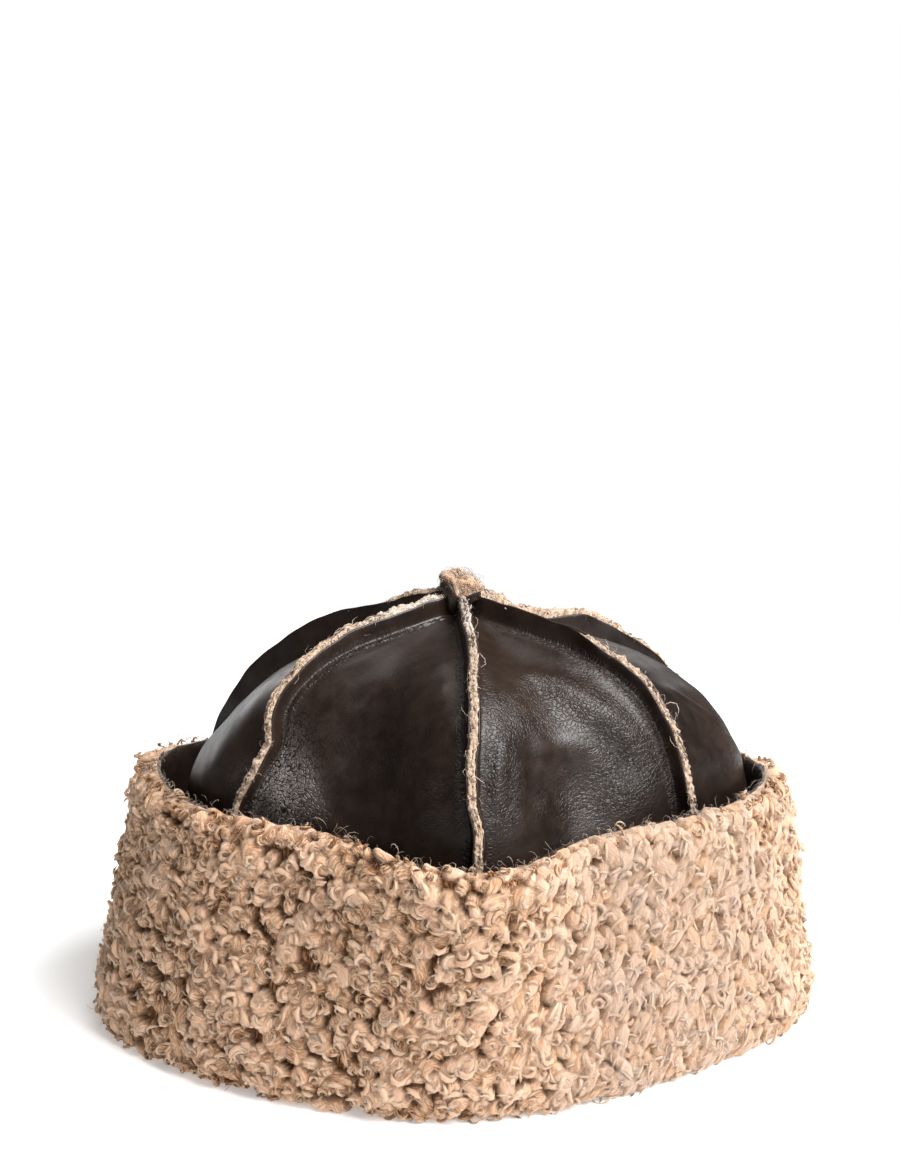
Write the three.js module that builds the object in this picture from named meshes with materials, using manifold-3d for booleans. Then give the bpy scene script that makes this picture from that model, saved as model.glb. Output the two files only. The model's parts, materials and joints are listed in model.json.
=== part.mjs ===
// A shearling hat lying on a table: a round crown of six leather gores and a deep cuff turned up to show the
// fleece. The seams of the crown are sewn with their raw edges outside, so each one stands up as a thin rib
// with wool between its two leathers, and the six ribs end in a small tuft of wool at the top.
// Millimetres, +Z up. The front seam faces -Y, +X is on its right, and the origin is on the table, under the
// middle of the fold. Azimuths are in degrees from the front, growing towards +X.

import * as THREE from "three";
import { mergeVertices } from "three/addons/utils/BufferGeometryUtils.js";
import Module from "manifold-3d";

const wasm = await Module();
wasm.setup();

// Driving sizes of the crown.
const apex = new THREE.Vector2(2, 0);
const wallThickness = 2.5;
const ribLeaf = 2.3;
const ribHeight = 7.5;
const ribHeightInFold = 3;
const ribHeightAtApex = 4.5;
const jogLength = 16;
const ribSqueezeTop = 80;
const ribSqueezeBottom = 30;
const assemblyGap = 0.3;

// Driving sizes of the cuff.
const foldHeight = 6;
const fleeceBacking = 8.5;
const lockRows = 4;
const lockSpacing = 32.5;
const lockReach = 8;
const lockThickness = 5.4;
const lockRise = 1.8;
const lockStagger = 5;
const lockRowFoot = 0.75;
const lockRowSpan = lockRows + 0.3;

// Driving sizes of the tuft at the apex.
const tuftRadius = 6;
const tuftStem = 3.8;
const tuftSeat = 148.6;
const tuftTop = 158.5;
const tuftLobes = 6;

// One row for each seam of the crown and for the middle of each gore, going round from the front seam. waist and
// foot are the radius of the crown's leather level with the rim of the cuff and at the fold, fullness tells how
// round its shoulder is, cuffRim and cuffFoot are the radius of the leather face of the cuff at its rim and at the
// fold, and rimHeight is how high the cuff stands.
const plan = [
  { azimuth: 5.5, waist: 82, foot: 77, fullness: 0.9, cuffRim: 92.5, cuffFoot: 81.5, rimHeight: 85 },
  { azimuth: 33, waist: 76, foot: 76.5, fullness: 0.1, cuffRim: 79.5, cuffFoot: 81, rimHeight: 88 },
  { azimuth: 62, waist: 85, foot: 86.5, fullness: 0.95, cuffRim: 94, cuffFoot: 91.5, rimHeight: 89 },
  { azimuth: 92, waist: 102, foot: 111, fullness: 0.4, cuffRim: 105.5, cuffFoot: 116, rimHeight: 87 },
  { azimuth: 114, waist: 93, foot: 99, fullness: 0, cuffRim: 103, cuffFoot: 104, rimHeight: 84 },
  { azimuth: 150, waist: 81, foot: 82, fullness: -0.1, cuffRim: 88, cuffFoot: 87, rimHeight: 82 },
  { azimuth: 182, waist: 84, foot: 80, fullness: 0.3, cuffRim: 94, cuffFoot: 85, rimHeight: 80.5 },
  { azimuth: 212, waist: 79, foot: 82, fullness: -0.1, cuffRim: 88, cuffFoot: 87, rimHeight: 80 },
  { azimuth: 248, waist: 87, foot: 99, fullness: 0, cuffRim: 105, cuffFoot: 104, rimHeight: 85 },
  { azimuth: 271, waist: 91, foot: 110, fullness: 0.1, cuffRim: 98.5, cuffFoot: 115, rimHeight: 87.5 },
  { azimuth: 299, waist: 79, foot: 92, fullness: 0.9, cuffRim: 89.5, cuffFoot: 97, rimHeight: 89 },
  { azimuth: 330, waist: 72.5, foot: 79, fullness: 0.2, cuffRim: 76.5, cuffFoot: 83.5, rimHeight: 88.5 },
];

// The crown from its apex down to the fold. full and flat are the share of the waist's radius that a section has
// where the crown's shoulder is round and where it slopes, and spread is how far it has gone from the waist's
// outline to the foot's.
const crownSections = [
  { height: 143.5, full: 0.06, flat: 0.06, spread: 0 },
  { height: 142, full: 0.18, flat: 0.14, spread: 0 },
  { height: 139, full: 0.36, flat: 0.25, spread: 0 },
  { height: 135.5, full: 0.54, flat: 0.37, spread: 0 },
  { height: 130, full: 0.7, flat: 0.52, spread: 0 },
  { height: 122.5, full: 0.82, flat: 0.67, spread: 0 },
  { height: 113, full: 0.9, flat: 0.81, spread: 0 },
  { height: 102, full: 0.95, flat: 0.905, spread: 0 },
  { height: 90, full: 0.985, flat: 0.975, spread: 0 },
  { height: 74, full: 1, flat: 1, spread: 0.08 },
  { height: 52, full: 1, flat: 1, spread: 0.35 },
  { height: 28, full: 1, flat: 1, spread: 0.68 },
  { height: foldHeight + assemblyGap, full: 1, flat: 1, spread: 1 },
];

// How each seam leaves its straight way down, in degrees: turn is how far round it sets off at the apex, sway how
// far it swings out half way down, and jog a side step that it takes at jogHeight.
const seams = [
  { name: "front", turn: 9.6, sway: -1.5, jog: -1.5, jogHeight: 96 },
  { name: "right_front", turn: -2, sway: 0, jog: 0, jogHeight: 90 },
  { name: "right_back", turn: 4, sway: 0, jog: 0, jogHeight: 90 },
  { name: "back", turn: 0, sway: 1.5, jog: 0, jogHeight: 90 },
  { name: "left_back", turn: -4, sway: 0, jog: 0, jogHeight: 90 },
  { name: "left_front", turn: 0, sway: 0, jog: 6, jogHeight: 102 },
];

// The hollows of the soft leather, and with a depth below zero its swellings. wide is in degrees.
const dents = [
  { azimuth: 302, height: 108, depth: 6, wide: 10, tall: 8 },
  { azimuth: 335, height: 100, depth: 6, wide: 14, tall: 20 },
  { azimuth: 336, height: 128, depth: -2, wide: 16, tall: 8 },
  { azimuth: 34, height: 94, depth: 4, wide: 11, tall: 15 },
  { azimuth: 36, height: 118, depth: -2.5, wide: 16, tall: 10 },
  { azimuth: 82, height: 122, depth: 2.5, wide: 10, tall: 9 },
  { azimuth: 264, height: 112, depth: 4, wide: 18, tall: 15 },
  { azimuth: 150, height: 104, depth: 3, wide: 14, tall: 14 },
  { azimuth: 210, height: 108, depth: 3, wide: 14, tall: 14 },
];

// How finely the skins are divided.
const goreLevels = 15;
const goreColumns = 6;
const cuffSteps = 48;
const surfaceStep = 0.01;

const radians = THREE.MathUtils.degToRad;
const smooth = (x, low, high) => THREE.MathUtils.smoothstep(x, low, high);

// A value of the plan at any azimuth, on a smooth closed curve through the rows.
function planValue(azimuth, column) {
  const count = plan.length;
  const turned = THREE.MathUtils.euclideanModulo(azimuth - plan[0].azimuth, 360) + plan[0].azimuth;
  let first = count - 1;
  while (plan[first].azimuth > turned) first -= 1;
  const row = (i) => plan[(i + count) % count][column];
  const start = plan[first].azimuth;
  const end = first + 1 < count ? plan[first + 1].azimuth : plan[0].azimuth + 360;
  const t = (turned - start) / (end - start);
  const [p0, p1, p2, p3] = [row(first - 1), row(first), row(first + 1), row(first + 2)];
  const slope1 = (p2 - p0) / 2;
  const slope2 = (p3 - p1) / 2;
  const a = 2 * p1 - 2 * p2 + slope1 + slope2;
  const b = 3 * p2 - 3 * p1 - 2 * slope1 - slope2;
  return ((a * t + b) * t + slope1) * t + p1;
}

// A column of the crown's sections at level 0 (apex) to 1 (fold).
function sectionValue(level, column) {
  const last = crownSections.length - 1;
  const place = THREE.MathUtils.clamp(level, 0, 1) * last;
  const i = Math.min(Math.floor(place), last - 1);
  const t = place - i;
  const row = (k) => crownSections[THREE.MathUtils.clamp(k, 0, last)][column];
  const slope1 = (row(i + 1) - row(i - 1)) / 2;
  const slope2 = (row(i + 2) - row(i)) / 2;
  const a = 2 * row(i) - 2 * row(i + 1) + slope1 + slope2;
  const b = 3 * row(i + 1) - 3 * row(i) - 2 * slope1 - slope2;
  return ((a * t + b) * t + slope1) * t + row(i);
}

function seamAzimuth(index, level) {
  const seam = seams[index % seams.length];
  const laps = Math.floor(index / seams.length) * 360;
  const share = sectionValue(level, "full");
  const height = sectionValue(level, "height");
  const above = smooth(height, seam.jogHeight - jogLength / 2, seam.jogHeight + jogLength / 2);
  const low = plan[(index % seams.length) * 2].azimuth + laps;
  return low + seam.turn * (1 - share) + seam.sway * Math.sin(Math.PI * share) + seam.jog * above;
}

// A point on the outside of the crown's leather. gore + across goes once round the crown from 0 to 6.
function crownPoint(gore, across, level) {
  const height = sectionValue(level, "height");
  const spread = sectionValue(level, "spread");
  const azimuth = THREE.MathUtils.lerp(seamAzimuth(gore, level), seamAzimuth(gore + 1, level), across);
  const fullness = planValue(azimuth, "fullness");
  const share = THREE.MathUtils.lerp(sectionValue(level, "flat"), sectionValue(level, "full"), fullness);
  const outline = THREE.MathUtils.lerp(planValue(azimuth, "waist"), planValue(azimuth, "foot"), spread);
  const dented = dents.reduce((sum, dent) => {
    const round = THREE.MathUtils.euclideanModulo(azimuth - dent.azimuth + 180, 360) - 180;
    return sum + dent.depth * Math.exp(-((round / dent.wide) ** 2) - ((height - dent.height) / dent.tall) ** 2);
  }, 0);
  const radius = outline * share - dented;
  const angle = radians(azimuth);
  const x = apex.x * (1 - share) + radius * Math.sin(angle);
  const y = apex.y * (1 - share) - radius * Math.cos(angle);
  return new THREE.Vector3(x, y, height);
}

// The outward normal of the crown, from short steps on its surface.
function crownNormal(gore, across, level) {
  const low = Math.max(level - surfaceStep, 0);
  const high = Math.min(level + surfaceStep, 1);
  const down = crownPoint(gore, across, high).sub(crownPoint(gore, across, low));
  const right = crownPoint(gore, across + surfaceStep, level).sub(crownPoint(gore, across - surfaceStep, level));
  return right.cross(down).negate().normalize();
}

function ribHeightAt(level) {
  const height = sectionValue(level, "height");
  const inFold = 1 - smooth(height, ribSqueezeBottom, ribSqueezeTop);
  const atApex = 1 - smooth(sectionValue(level, "full"), 0.05, 0.5);
  const open = THREE.MathUtils.lerp(ribHeight, ribHeightAtApex, atApex);
  return THREE.MathUtils.lerp(open, ribHeightInFold, inFold);
}

// The frame of a seam at a level: its point, outward normal and the way across it to the right.
function seamFrame(index, level) {
  const gore = index % seams.length;
  const point = crownPoint(gore, 0, level);
  const before = crownNormal((gore + seams.length - 1) % seams.length, 1, level);
  const normal = crownNormal(gore, 0, level).add(before).normalize();
  const low = Math.max(level - surfaceStep, 0);
  const high = Math.min(level + surfaceStep, 1);
  const down = crownPoint(gore, 0, high).sub(crownPoint(gore, 0, low)).normalize();
  const right = down.clone().cross(normal).negate().normalize();
  return { point, normal, right };
}

// Joins closed loops of equally many points into a skin. The loops run anticlockwise seen from the last one, and
// a closed round of loops joins the last one to the first. From column mirrored on, the quads are halved along
// their other diagonal, so that two neighbours of mirrored shape fit each other.
function loft(loops, closed, mirrored = Infinity) {
  const size = loops[0].length;
  const positions = loops.flat().flatMap((p) => [p.x, p.y, p.z]);
  const faces = [];
  const strips = closed ? loops.length : loops.length - 1;
  for (let i = 0; i < strips; i += 1) {
    const next = ((i + 1) % loops.length) * size;
    for (let j = 0; j < size; j += 1) {
      const a = i * size + j;
      const b = i * size + ((j + 1) % size);
      const c = next + j;
      const d = next + ((j + 1) % size);
      if (j < mirrored) faces.push(a, b, c, b, d, c);
      else faces.push(a, b, d, a, d, c);
    }
  }
  return { positions, faces, size };
}

function toGeometry(positions, faces) {
  const geometry = new THREE.BufferGeometry();
  geometry.setAttribute("position", new THREE.Float32BufferAttribute(positions, 3));
  geometry.setIndex(faces);
  return geometry;
}

// One gore: the leather from seam to seam, with a rib leaf standing up along each side.
function makeGore(gore) {
  const loops = [];
  for (let i = 0; i <= goreLevels; i += 1) {
    const level = i / goreLevels;
    const left = seamFrame(gore, level);
    const right = seamFrame(gore + 1, level);
    const width = left.point.distanceTo(right.point);
    const rib = ribHeightAt(level);
    const near = assemblyGap / 2;
    const far = Math.min(near + ribLeaf, 0.42 * width);
    const at = (frame, across, out) =>
      frame.point.clone().addScaledVector(frame.right, across).addScaledVector(frame.normal, out);
    const outside = [];
    const inside = [];
    for (let j = 1; j < goreColumns; j += 1) {
      const across = THREE.MathUtils.lerp(far / width, 1 - far / width, j / goreColumns);
      const point = crownPoint(gore, across, level);
      outside.push(point);
      inside.unshift(point.clone().addScaledVector(crownNormal(gore, across, level), -wallThickness));
    }
    loops.push([
      at(left, near, -wallThickness),
      at(left, near, rib),
      at(left, far, rib),
      at(left, far, 0),
      ...outside,
      at(right, -far, 0),
      at(right, -far, rib),
      at(right, -near, rib),
      at(right, -near, -wallThickness),
      ...inside,
    ].reverse());
  }
  const foot = foldHeight + assemblyGap;
  loops.flat().forEach((point) => point.setZ(Math.max(point.z, foot)));
  const middleColumn = 4 + goreColumns + Math.floor(goreColumns / 2);
  const { positions, faces, size } = loft(loops, false, middleColumn);
  closeGoreEnd(faces, 0, size, false);
  closeGoreEnd(faces, (loops.length - 1) * size, size, true);
  return toGeometry(positions, faces);
}

// Closes one end of a gore in strips between the outside and the inside of its leather.
function closeGoreEnd(faces, first, size, turned) {
  const corner = (k) => first + size - 1 - (k % size);
  const face = (a, b, c) => faces.push(corner(a), corner(turned ? c : b), corner(turned ? b : c));
  const last = 6 + goreColumns;
  face(0, 1, 2);
  face(0, 2, 3);
  face(last, last - 2, last - 1);
  face(last, last - 3, last - 2);
  for (let k = 0; k < goreColumns; k += 1) {
    face(size - k, 3 + k, 4 + k);
    face(size - k, 4 + k, size - k - 1);
  }
}

// The section of the cuff's backing, from the rim over the fleece side, under the fold and up its leather face.
// out is measured from the cuff's leather face, or from the crown's foot where side says so, up is a share of the
// height of the cuff and lift is in millimetres.
const cuffSection = [
  { side: "cuff", up: 1, lift: 0, out: 0 },
  { side: "cuff", up: 1, lift: 1.5, out: 3.5 },
  { side: "cuff", up: 1, lift: -1.5, out: fleeceBacking },
  { side: "cuff", up: 0.72, lift: 0, out: fleeceBacking + 0.5 },
  { side: "cuff", up: 0.42, lift: 0, out: fleeceBacking + 0.5 },
  { side: "cuff", up: 0.15, lift: 0, out: fleeceBacking + 2 },
  { side: "cuff", up: 0.06, lift: 0, out: fleeceBacking + 1.5 },
  { side: "cuff", up: 0, lift: 0, out: fleeceBacking - 3.5 },
  { side: "crown", up: 0, lift: 0, out: -9 },
  { side: "crown", up: 0, lift: 3, out: -12 },
  { side: "crown", up: 0, lift: foldHeight, out: -10 },
  { side: "cuff", up: 0, lift: foldHeight, out: 0 },
  { side: "cuff", up: 0.55, lift: 0, out: 0 },
];

function cuffFace(azimuth, height) {
  const share = height / planValue(azimuth, "rimHeight");
  return THREE.MathUtils.lerp(planValue(azimuth, "cuffFoot"), planValue(azimuth, "cuffRim"), share);
}

function polar(azimuth, radius, height) {
  const angle = radians(azimuth);
  return new THREE.Vector3(radius * Math.sin(angle), -radius * Math.cos(angle), height);
}

function makeCuffBacking() {
  const loops = [];
  for (let i = 0; i < cuffSteps; i += 1) {
    const azimuth = (i / cuffSteps) * 360;
    const loop = cuffSection.map((row) => {
      const height = row.up * planValue(azimuth, "rimHeight") + row.lift;
      const face = row.side === "cuff" ? cuffFace(azimuth, height) : planValue(azimuth, "foot");
      return polar(azimuth, face + row.out, height);
    });
    loops.push(loop);
  }
  const { positions, faces } = loft(loops, true);
  return toGeometry(positions, faces);
}

// A curled lock in its own frame: x and y lie on the fleece and z stands out of it. It is a comma, thick at the
// root and pointed at the tip, that turns through more than half a circle.
function makeLock(reach, thickness, rise) {
  const stations = [
    { turn: 10, out: -0.8, thick: 0.8 },
    { turn: 70, out: 0, thick: 1 },
    { turn: 130, out: 0.3, thick: 1 },
    { turn: 195, out: -0.1, thick: 0.8 },
    { turn: 250, out: -0.7, thick: 0.45 },
  ];
  const sides = 5;
  const path = stations.map((s) => {
    const angle = radians(s.turn);
    return new THREE.Vector3(reach * Math.cos(angle), reach * Math.sin(angle), rise * s.out);
  });
  const loops = stations.map((s, i) => {
    const ahead = path[Math.min(i + 1, path.length - 1)];
    const behind = path[Math.max(i - 1, 0)];
    const along = ahead.clone().sub(behind).normalize();
    const across = new THREE.Vector3(0, 0, 1).cross(along).normalize();
    const up = along.clone().cross(across);
    return Array.from({ length: sides }, (_, k) => {
      const angle = (k / sides) * 2 * Math.PI;
      const offset = across.clone().multiplyScalar(Math.cos(angle)).addScaledVector(up, Math.sin(angle));
      return path[i].clone().addScaledVector(offset, thickness * s.thick);
    });
  });
  const { positions, faces } = loft(loops, false);
  const root = positions.length / 3;
  const end = root + 1;
  positions.push(...path[0].toArray(), ...path[path.length - 1].toArray());
  const lastLoop = (loops.length - 1) * sides;
  for (let k = 0; k < sides; k += 1) {
    const next = (k + 1) % sides;
    faces.push(root, next, k, end, lastLoop + k, lastLoop + next);
  }
  return toGeometry(positions, faces);
}

// A solid from a closed geometry, and the geometry of a solid.
function toSolid(geometry) {
  const bare = geometry.clone();
  bare.deleteAttribute("normal");
  bare.deleteAttribute("uv");
  const merged = mergeVertices(bare, 1e-5);
  const vertProperties = Float32Array.from(merged.attributes.position.array);
  const triVerts = Uint32Array.from(merged.index.array);
  return new wasm.Manifold(new wasm.Mesh({ numProp: 3, vertProperties, triVerts }));
}

function fromSolid(solid) {
  const { vertProperties, triVerts } = solid.getMesh();
  return toGeometry(Array.from(vertProperties), Array.from(triVerts));
}

// Bends a lock onto the cuff, so that it lies on the fleece at this azimuth and height.
function bendOntoCuff(lock, azimuth, height, turn) {
  const bent = lock.clone().rotateZ(radians(turn));
  const points = bent.attributes.position;
  const radius = cuffFace(azimuth, height) + fleeceBacking;
  for (let i = 0; i < points.count; i += 1) {
    const local = new THREE.Vector3().fromBufferAttribute(points, i);
    const there = azimuth + THREE.MathUtils.radToDeg(local.x / radius);
    const up = height + local.y;
    const place = polar(there, cuffFace(there, up) + fleeceBacking + local.z, up);
    points.setXYZ(i, place.x, place.y, place.z);
  }
  return bent;
}

// The rows of locks, each one a little further round than the row below, and every lock turned its own way.
function makeCuff() {
  const lock = makeLock(lockReach, lockThickness, lockRise);
  let cuff = toSolid(makeCuffBacking());
  for (let row = 0; row < lockRows; row += 1) {
    const up = (row + lockRowFoot) / lockRowSpan;
    const start = row * lockStagger;
    let azimuth = start;
    let count = 0;
    while (azimuth < start + 360 - lockStagger) {
      const height = up * planValue(azimuth, "rimHeight");
      const turn = row * 97 + count * 137;
      cuff = cuff.add(toSolid(bendOntoCuff(lock, azimuth, height, turn)));
      azimuth += THREE.MathUtils.radToDeg(lockSpacing / (cuffFace(azimuth, height) + fleeceBacking));
      count += 1;
    }
  }
  return fromSolid(cuff);
}

// The wool that comes out between the six seams where they meet: a stem that fills the hole and a lobed head.
function makeTuft() {
  const outline = [
    { radius: 0, height: 141 },
    { radius: tuftStem, height: 141.5 },
    { radius: tuftStem, height: tuftSeat },
    { radius: tuftRadius * 0.8, height: tuftSeat + 0.8 },
    { radius: tuftRadius, height: tuftSeat + 4 },
    { radius: tuftRadius * 0.7, height: tuftTop - 1.5 },
    { radius: 0, height: tuftTop },
  ];
  const profile = outline.map((row) => new THREE.Vector2(row.radius, row.height));
  const tuft = new THREE.LatheGeometry(profile, 2 * tuftLobes).rotateX(Math.PI / 2);
  const points = tuft.attributes.position;
  for (let i = 0; i < points.count; i += 1) {
    const [x, y, z] = [points.getX(i), points.getY(i), points.getZ(i)];
    const lobe = z > tuftSeat + 1 ? 1 + 0.12 * Math.cos(tuftLobes * Math.atan2(y, x)) : 1;
    points.setXYZ(i, apex.x + x * lobe, apex.y + y * lobe, z);
  }
  return tuft;
}

const material = (color, roughness) => new THREE.MeshStandardMaterial({ color, roughness, metalness: 0 });
const leather = material(0x2b211d, 0.4);
const fleece = material(0xcaa680, 0.95);

const hat = new THREE.Group();
function addPiece(name, geometry, look) {
  const piece = new THREE.Mesh(geometry, look);
  piece.name = name;
  hat.add(piece);
}

const goreNames = ["front_right", "right", "back_right", "back_left", "left", "front_left"];
goreNames.forEach((side, gore) => addPiece(`crown_gore_${side}`, makeGore(gore), leather));
addPiece("cuff", makeCuff(), fleece);
addPiece("apex_tuft", makeTuft(), fleece);

// The origin goes under the middle of the whole hat.
const bounds = new THREE.Box3().setFromObject(hat);
const middle = bounds.getCenter(new THREE.Vector3());
hat.children.forEach((piece) => piece.position.set(-middle.x, -middle.y, -bounds.min.z));

export default hat;
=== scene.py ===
# %% [markdown]
# # A shearling hat with a turned-up cuff
#
# The hat is one kind of skin used two ways: smooth brown leather on one face and curly wool on the other.
# Six gores of it make the crown with the leather out, and a deep cuff is turned up so that the wool
# shows. This lesson dresses the hat in Blender, piece by piece, around a plain solid model that already
# has the right size.

# %% Load the plain model as a fixed frame
import json
import math

import bpy
import numpy as np
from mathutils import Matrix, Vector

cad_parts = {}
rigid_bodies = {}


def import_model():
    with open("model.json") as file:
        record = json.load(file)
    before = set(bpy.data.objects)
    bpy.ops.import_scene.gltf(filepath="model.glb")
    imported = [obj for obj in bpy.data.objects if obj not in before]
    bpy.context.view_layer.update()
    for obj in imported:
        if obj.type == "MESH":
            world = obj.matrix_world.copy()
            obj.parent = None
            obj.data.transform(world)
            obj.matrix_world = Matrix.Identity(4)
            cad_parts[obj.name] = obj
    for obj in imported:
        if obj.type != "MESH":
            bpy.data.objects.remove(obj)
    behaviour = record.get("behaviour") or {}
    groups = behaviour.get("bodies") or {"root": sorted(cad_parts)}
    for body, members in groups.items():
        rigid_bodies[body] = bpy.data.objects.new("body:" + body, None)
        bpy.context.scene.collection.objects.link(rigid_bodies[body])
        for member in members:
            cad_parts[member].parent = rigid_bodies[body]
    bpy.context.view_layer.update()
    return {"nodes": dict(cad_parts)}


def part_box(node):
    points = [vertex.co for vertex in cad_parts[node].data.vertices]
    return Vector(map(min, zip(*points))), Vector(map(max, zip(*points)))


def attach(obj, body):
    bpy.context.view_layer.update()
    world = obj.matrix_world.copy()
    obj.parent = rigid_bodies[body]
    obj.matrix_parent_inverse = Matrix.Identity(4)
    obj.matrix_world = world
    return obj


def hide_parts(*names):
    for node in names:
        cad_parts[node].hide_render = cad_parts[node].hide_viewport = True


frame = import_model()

print("nodes of the frame:", sorted(frame["nodes"]))

# %% [markdown]
# ## The camera
#
# The hat is seen from the front and a little above, as someone who sits at the table sees it. A long lens
# keeps the cuff from bulging towards us. The camera comes first, because everything after it is judged
# through it.

# %% Place the camera
CAMERA_PLACE = (-0.0015, -0.7612, 0.3222)
CAMERA_TILT_DOWN = 12.632
CAMERA_TURN_LEFT = 0.0741
CAMERA_LENS = 71.02
CAMERA_SENSOR = 36


def add_to_scene(name, data):
    """A new object with a mesh, a lamp or a camera in it, linked into the scene."""
    made = bpy.data.objects.new(name, data)
    bpy.context.collection.objects.link(made)
    return made


camera = add_to_scene("camera", bpy.data.cameras.new("camera"))
camera.location = CAMERA_PLACE
camera.rotation_euler = (math.radians(90 - CAMERA_TILT_DOWN), 0, math.radians(CAMERA_TURN_LEFT))
camera.data.lens = CAMERA_LENS
camera.data.sensor_width = CAMERA_SENSOR
camera.data.clip_start = 0.01
bpy.context.scene.camera = camera
print("camera", CAMERA_LENS, "mm,", CAMERA_TILT_DOWN, "degrees down")

# %% [markdown]
# ## The pattern of the hat
#
# A hatter cuts the gores from a paper pattern. Here the pattern is a few short tables and curves, in
# millimetres, the same ones that the plain model was made from. Azimuth is in degrees from the front,
# growing towards the right, and a level goes from 0 at the apex to 1 at the fold.

# %% The plan and the sections of the crown
MM = 0.001
APEX = (2.0, 0.0)
WALL = 2.5
FOLD_HEIGHT = 6.3
RIGHT_ROUND = 360


def table_rows(columns, rows):
    """The rows of a table, each as a dictionary under the names of the columns."""
    return [dict(zip(columns.split(), row)) for row in rows]


def table_columns(columns, rows):
    """The columns of a table as arrays, under their names."""
    return dict(zip(columns.split(), np.array(rows, float).T))


plan = table_columns("azimuth waist foot fullness cuff_rim cuff_foot rim_height", (
    (5.5, 82, 77, 0.9, 92.5, 81.5, 85),
    (33, 76, 76.5, 0.1, 79.5, 81, 88),
    (62, 85, 86.5, 0.95, 94, 91.5, 89),
    (92, 102, 111, 0.4, 105.5, 116, 87),
    (114, 93, 99, 0, 103, 104, 84),
    (150, 81, 82, -0.1, 88, 87, 82),
    (182, 84, 80, 0.3, 94, 85, 80.5),
    (212, 79, 82, -0.1, 88, 87, 80),
    (248, 87, 99, 0, 105, 104, 85),
    (271, 91, 110, 0.1, 98.5, 115, 87.5),
    (299, 79, 92, 0.9, 89.5, 97, 89),
    (330, 72.5, 79, 0.2, 76.5, 83.5, 88.5),
))

sections = table_columns("height full flat spread", (
    (143.5, 0.06, 0.06, 0),
    (142, 0.18, 0.14, 0),
    (139, 0.36, 0.25, 0),
    (135.5, 0.54, 0.37, 0),
    (130, 0.7, 0.52, 0),
    (122.5, 0.82, 0.67, 0),
    (113, 0.9, 0.81, 0),
    (102, 0.95, 0.905, 0),
    (90, 0.985, 0.975, 0),
    (74, 1, 1, 0.08),
    (52, 1, 1, 0.35),
    (28, 1, 1, 0.68),
    (FOLD_HEIGHT, 1, 1, 1),
))

# A seam turns and sways on its way down, and may jog aside at a height. rib is how tall its rib is, pucker
# how gathered the leather beside it is, and loose how much taller its wool stands near the apex. loose_far
# is the same further down, from the share loose_until on, and bleach is how pale the wool is near the apex.
SEAM_COLUMNS = "name turn sway jog jog_height rib rib_apex rib_low pucker"
seams = table_rows(SEAM_COLUMNS + " loose loose_far loose_until bleach", (
    ("front", 4.0, 0.7, -1.5, 96, 6.0, 6.4, 5.0, 0.3, 0.2, 0.3, 0.24, 1),
    ("right_front", -2, 1.0, 0, 90, 5.4, 6.8, 5.4, 0.9, -3.4, 0, 0.50, 0),
    ("right_back", 4, 0, 0, 90, 7.5, 2.0, 7.5, 0.3, 3.9, 1.7, 0.56, 0),
    ("back", 0, 1.5, 0, 90, 7.0, 4.5, 7.0, 0.6, 2.0, 1.0, 0.24, 0),
    ("left_back", -4, 0, 0, 90, 9.0, 6.8, 8.0, 0.3, 1.1, -1.9, 0.42, 0),
    ("left_front", 0, -2, 3.0, 92, 5.2, 6.4, 2.6, 1.0, 0.5, 1.1, 0.24, 0.8),
))
JOG_LENGTH = 14
GORES = ("front_right", "right", "back_right", "back_left", "left", "front_left")
print(len(seams), "seams and", len(GORES), "gores")


# %% Smooth curves through the rows of a table
def smooth_between(before, start, end, after, share):
    """The value at a share of the way from start to end, on a curve that follows the neighbours' slopes."""
    leave = (end - before) / 2
    arrive = (after - start) / 2
    cubic = 2 * start - 2 * end + leave + arrive
    square = 3 * end - 3 * start - 2 * leave - arrive
    return ((cubic * share + square) * share + leave) * share + start


def smooth_step(value, low, high):
    """0 below low and 1 above high, with a soft change between them."""
    share = np.clip((value - low) / (high - low), 0, 1)
    return share * share * (3 - 2 * share)


def mix(start, end, share):
    """The value at a share of the way from start to end."""
    return start + (end - start) * share


def between_rows(rows, numbers, share):
    """The smooth value at a share of the way between rows numbers[1] and numbers[2] of a column."""
    return smooth_between(*(rows[number] for number in numbers), share)


def plan_value(azimuth, column):
    """A column of the plan at any azimuth, going right round the hat."""
    angles = plan["azimuth"]
    count = len(angles)
    turned = np.mod(azimuth - angles[0], RIGHT_ROUND) + angles[0]
    first = np.clip(np.searchsorted(angles, turned, side="right") - 1, 0, count - 1)
    ends = np.append(angles[1:], angles[0] + RIGHT_ROUND)
    share = (turned - angles[first]) / (ends[first] - angles[first])
    return between_rows(plan[column], [(first + step) % count for step in (-1, 0, 1, 2)], share)


def down_table(table, share, column):
    """A column of a table at a share of the way down its rows."""
    last = len(table[column]) - 1
    place = np.clip(share, 0, 1) * last
    first = np.minimum(np.floor(place).astype(int), last - 1)
    numbers = [np.clip(first + step, 0, last) for step in (-1, 0, 1, 2)]
    return between_rows(table[column], numbers, place - first)


def section_value(level, column):
    """A column of the crown's sections at a level from 0 to 1."""
    return down_table(sections, level, column)


def level_at(height):
    """The level of the crown at a height."""
    levels = np.linspace(0, 1, 400)
    return np.interp(-np.asarray(height, float), -section_value(levels, "height"), levels)


def turn_from(middle, azimuth):
    """The turn from one azimuth to another, the short way round."""
    return np.mod(azimuth - middle + RIGHT_ROUND / 2, RIGHT_ROUND) - RIGHT_ROUND / 2


def bell(offset, reach):
    """1 where the offset is 0, falling smoothly away over a reach."""
    return np.exp(-((offset / reach) ** 2))


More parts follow.
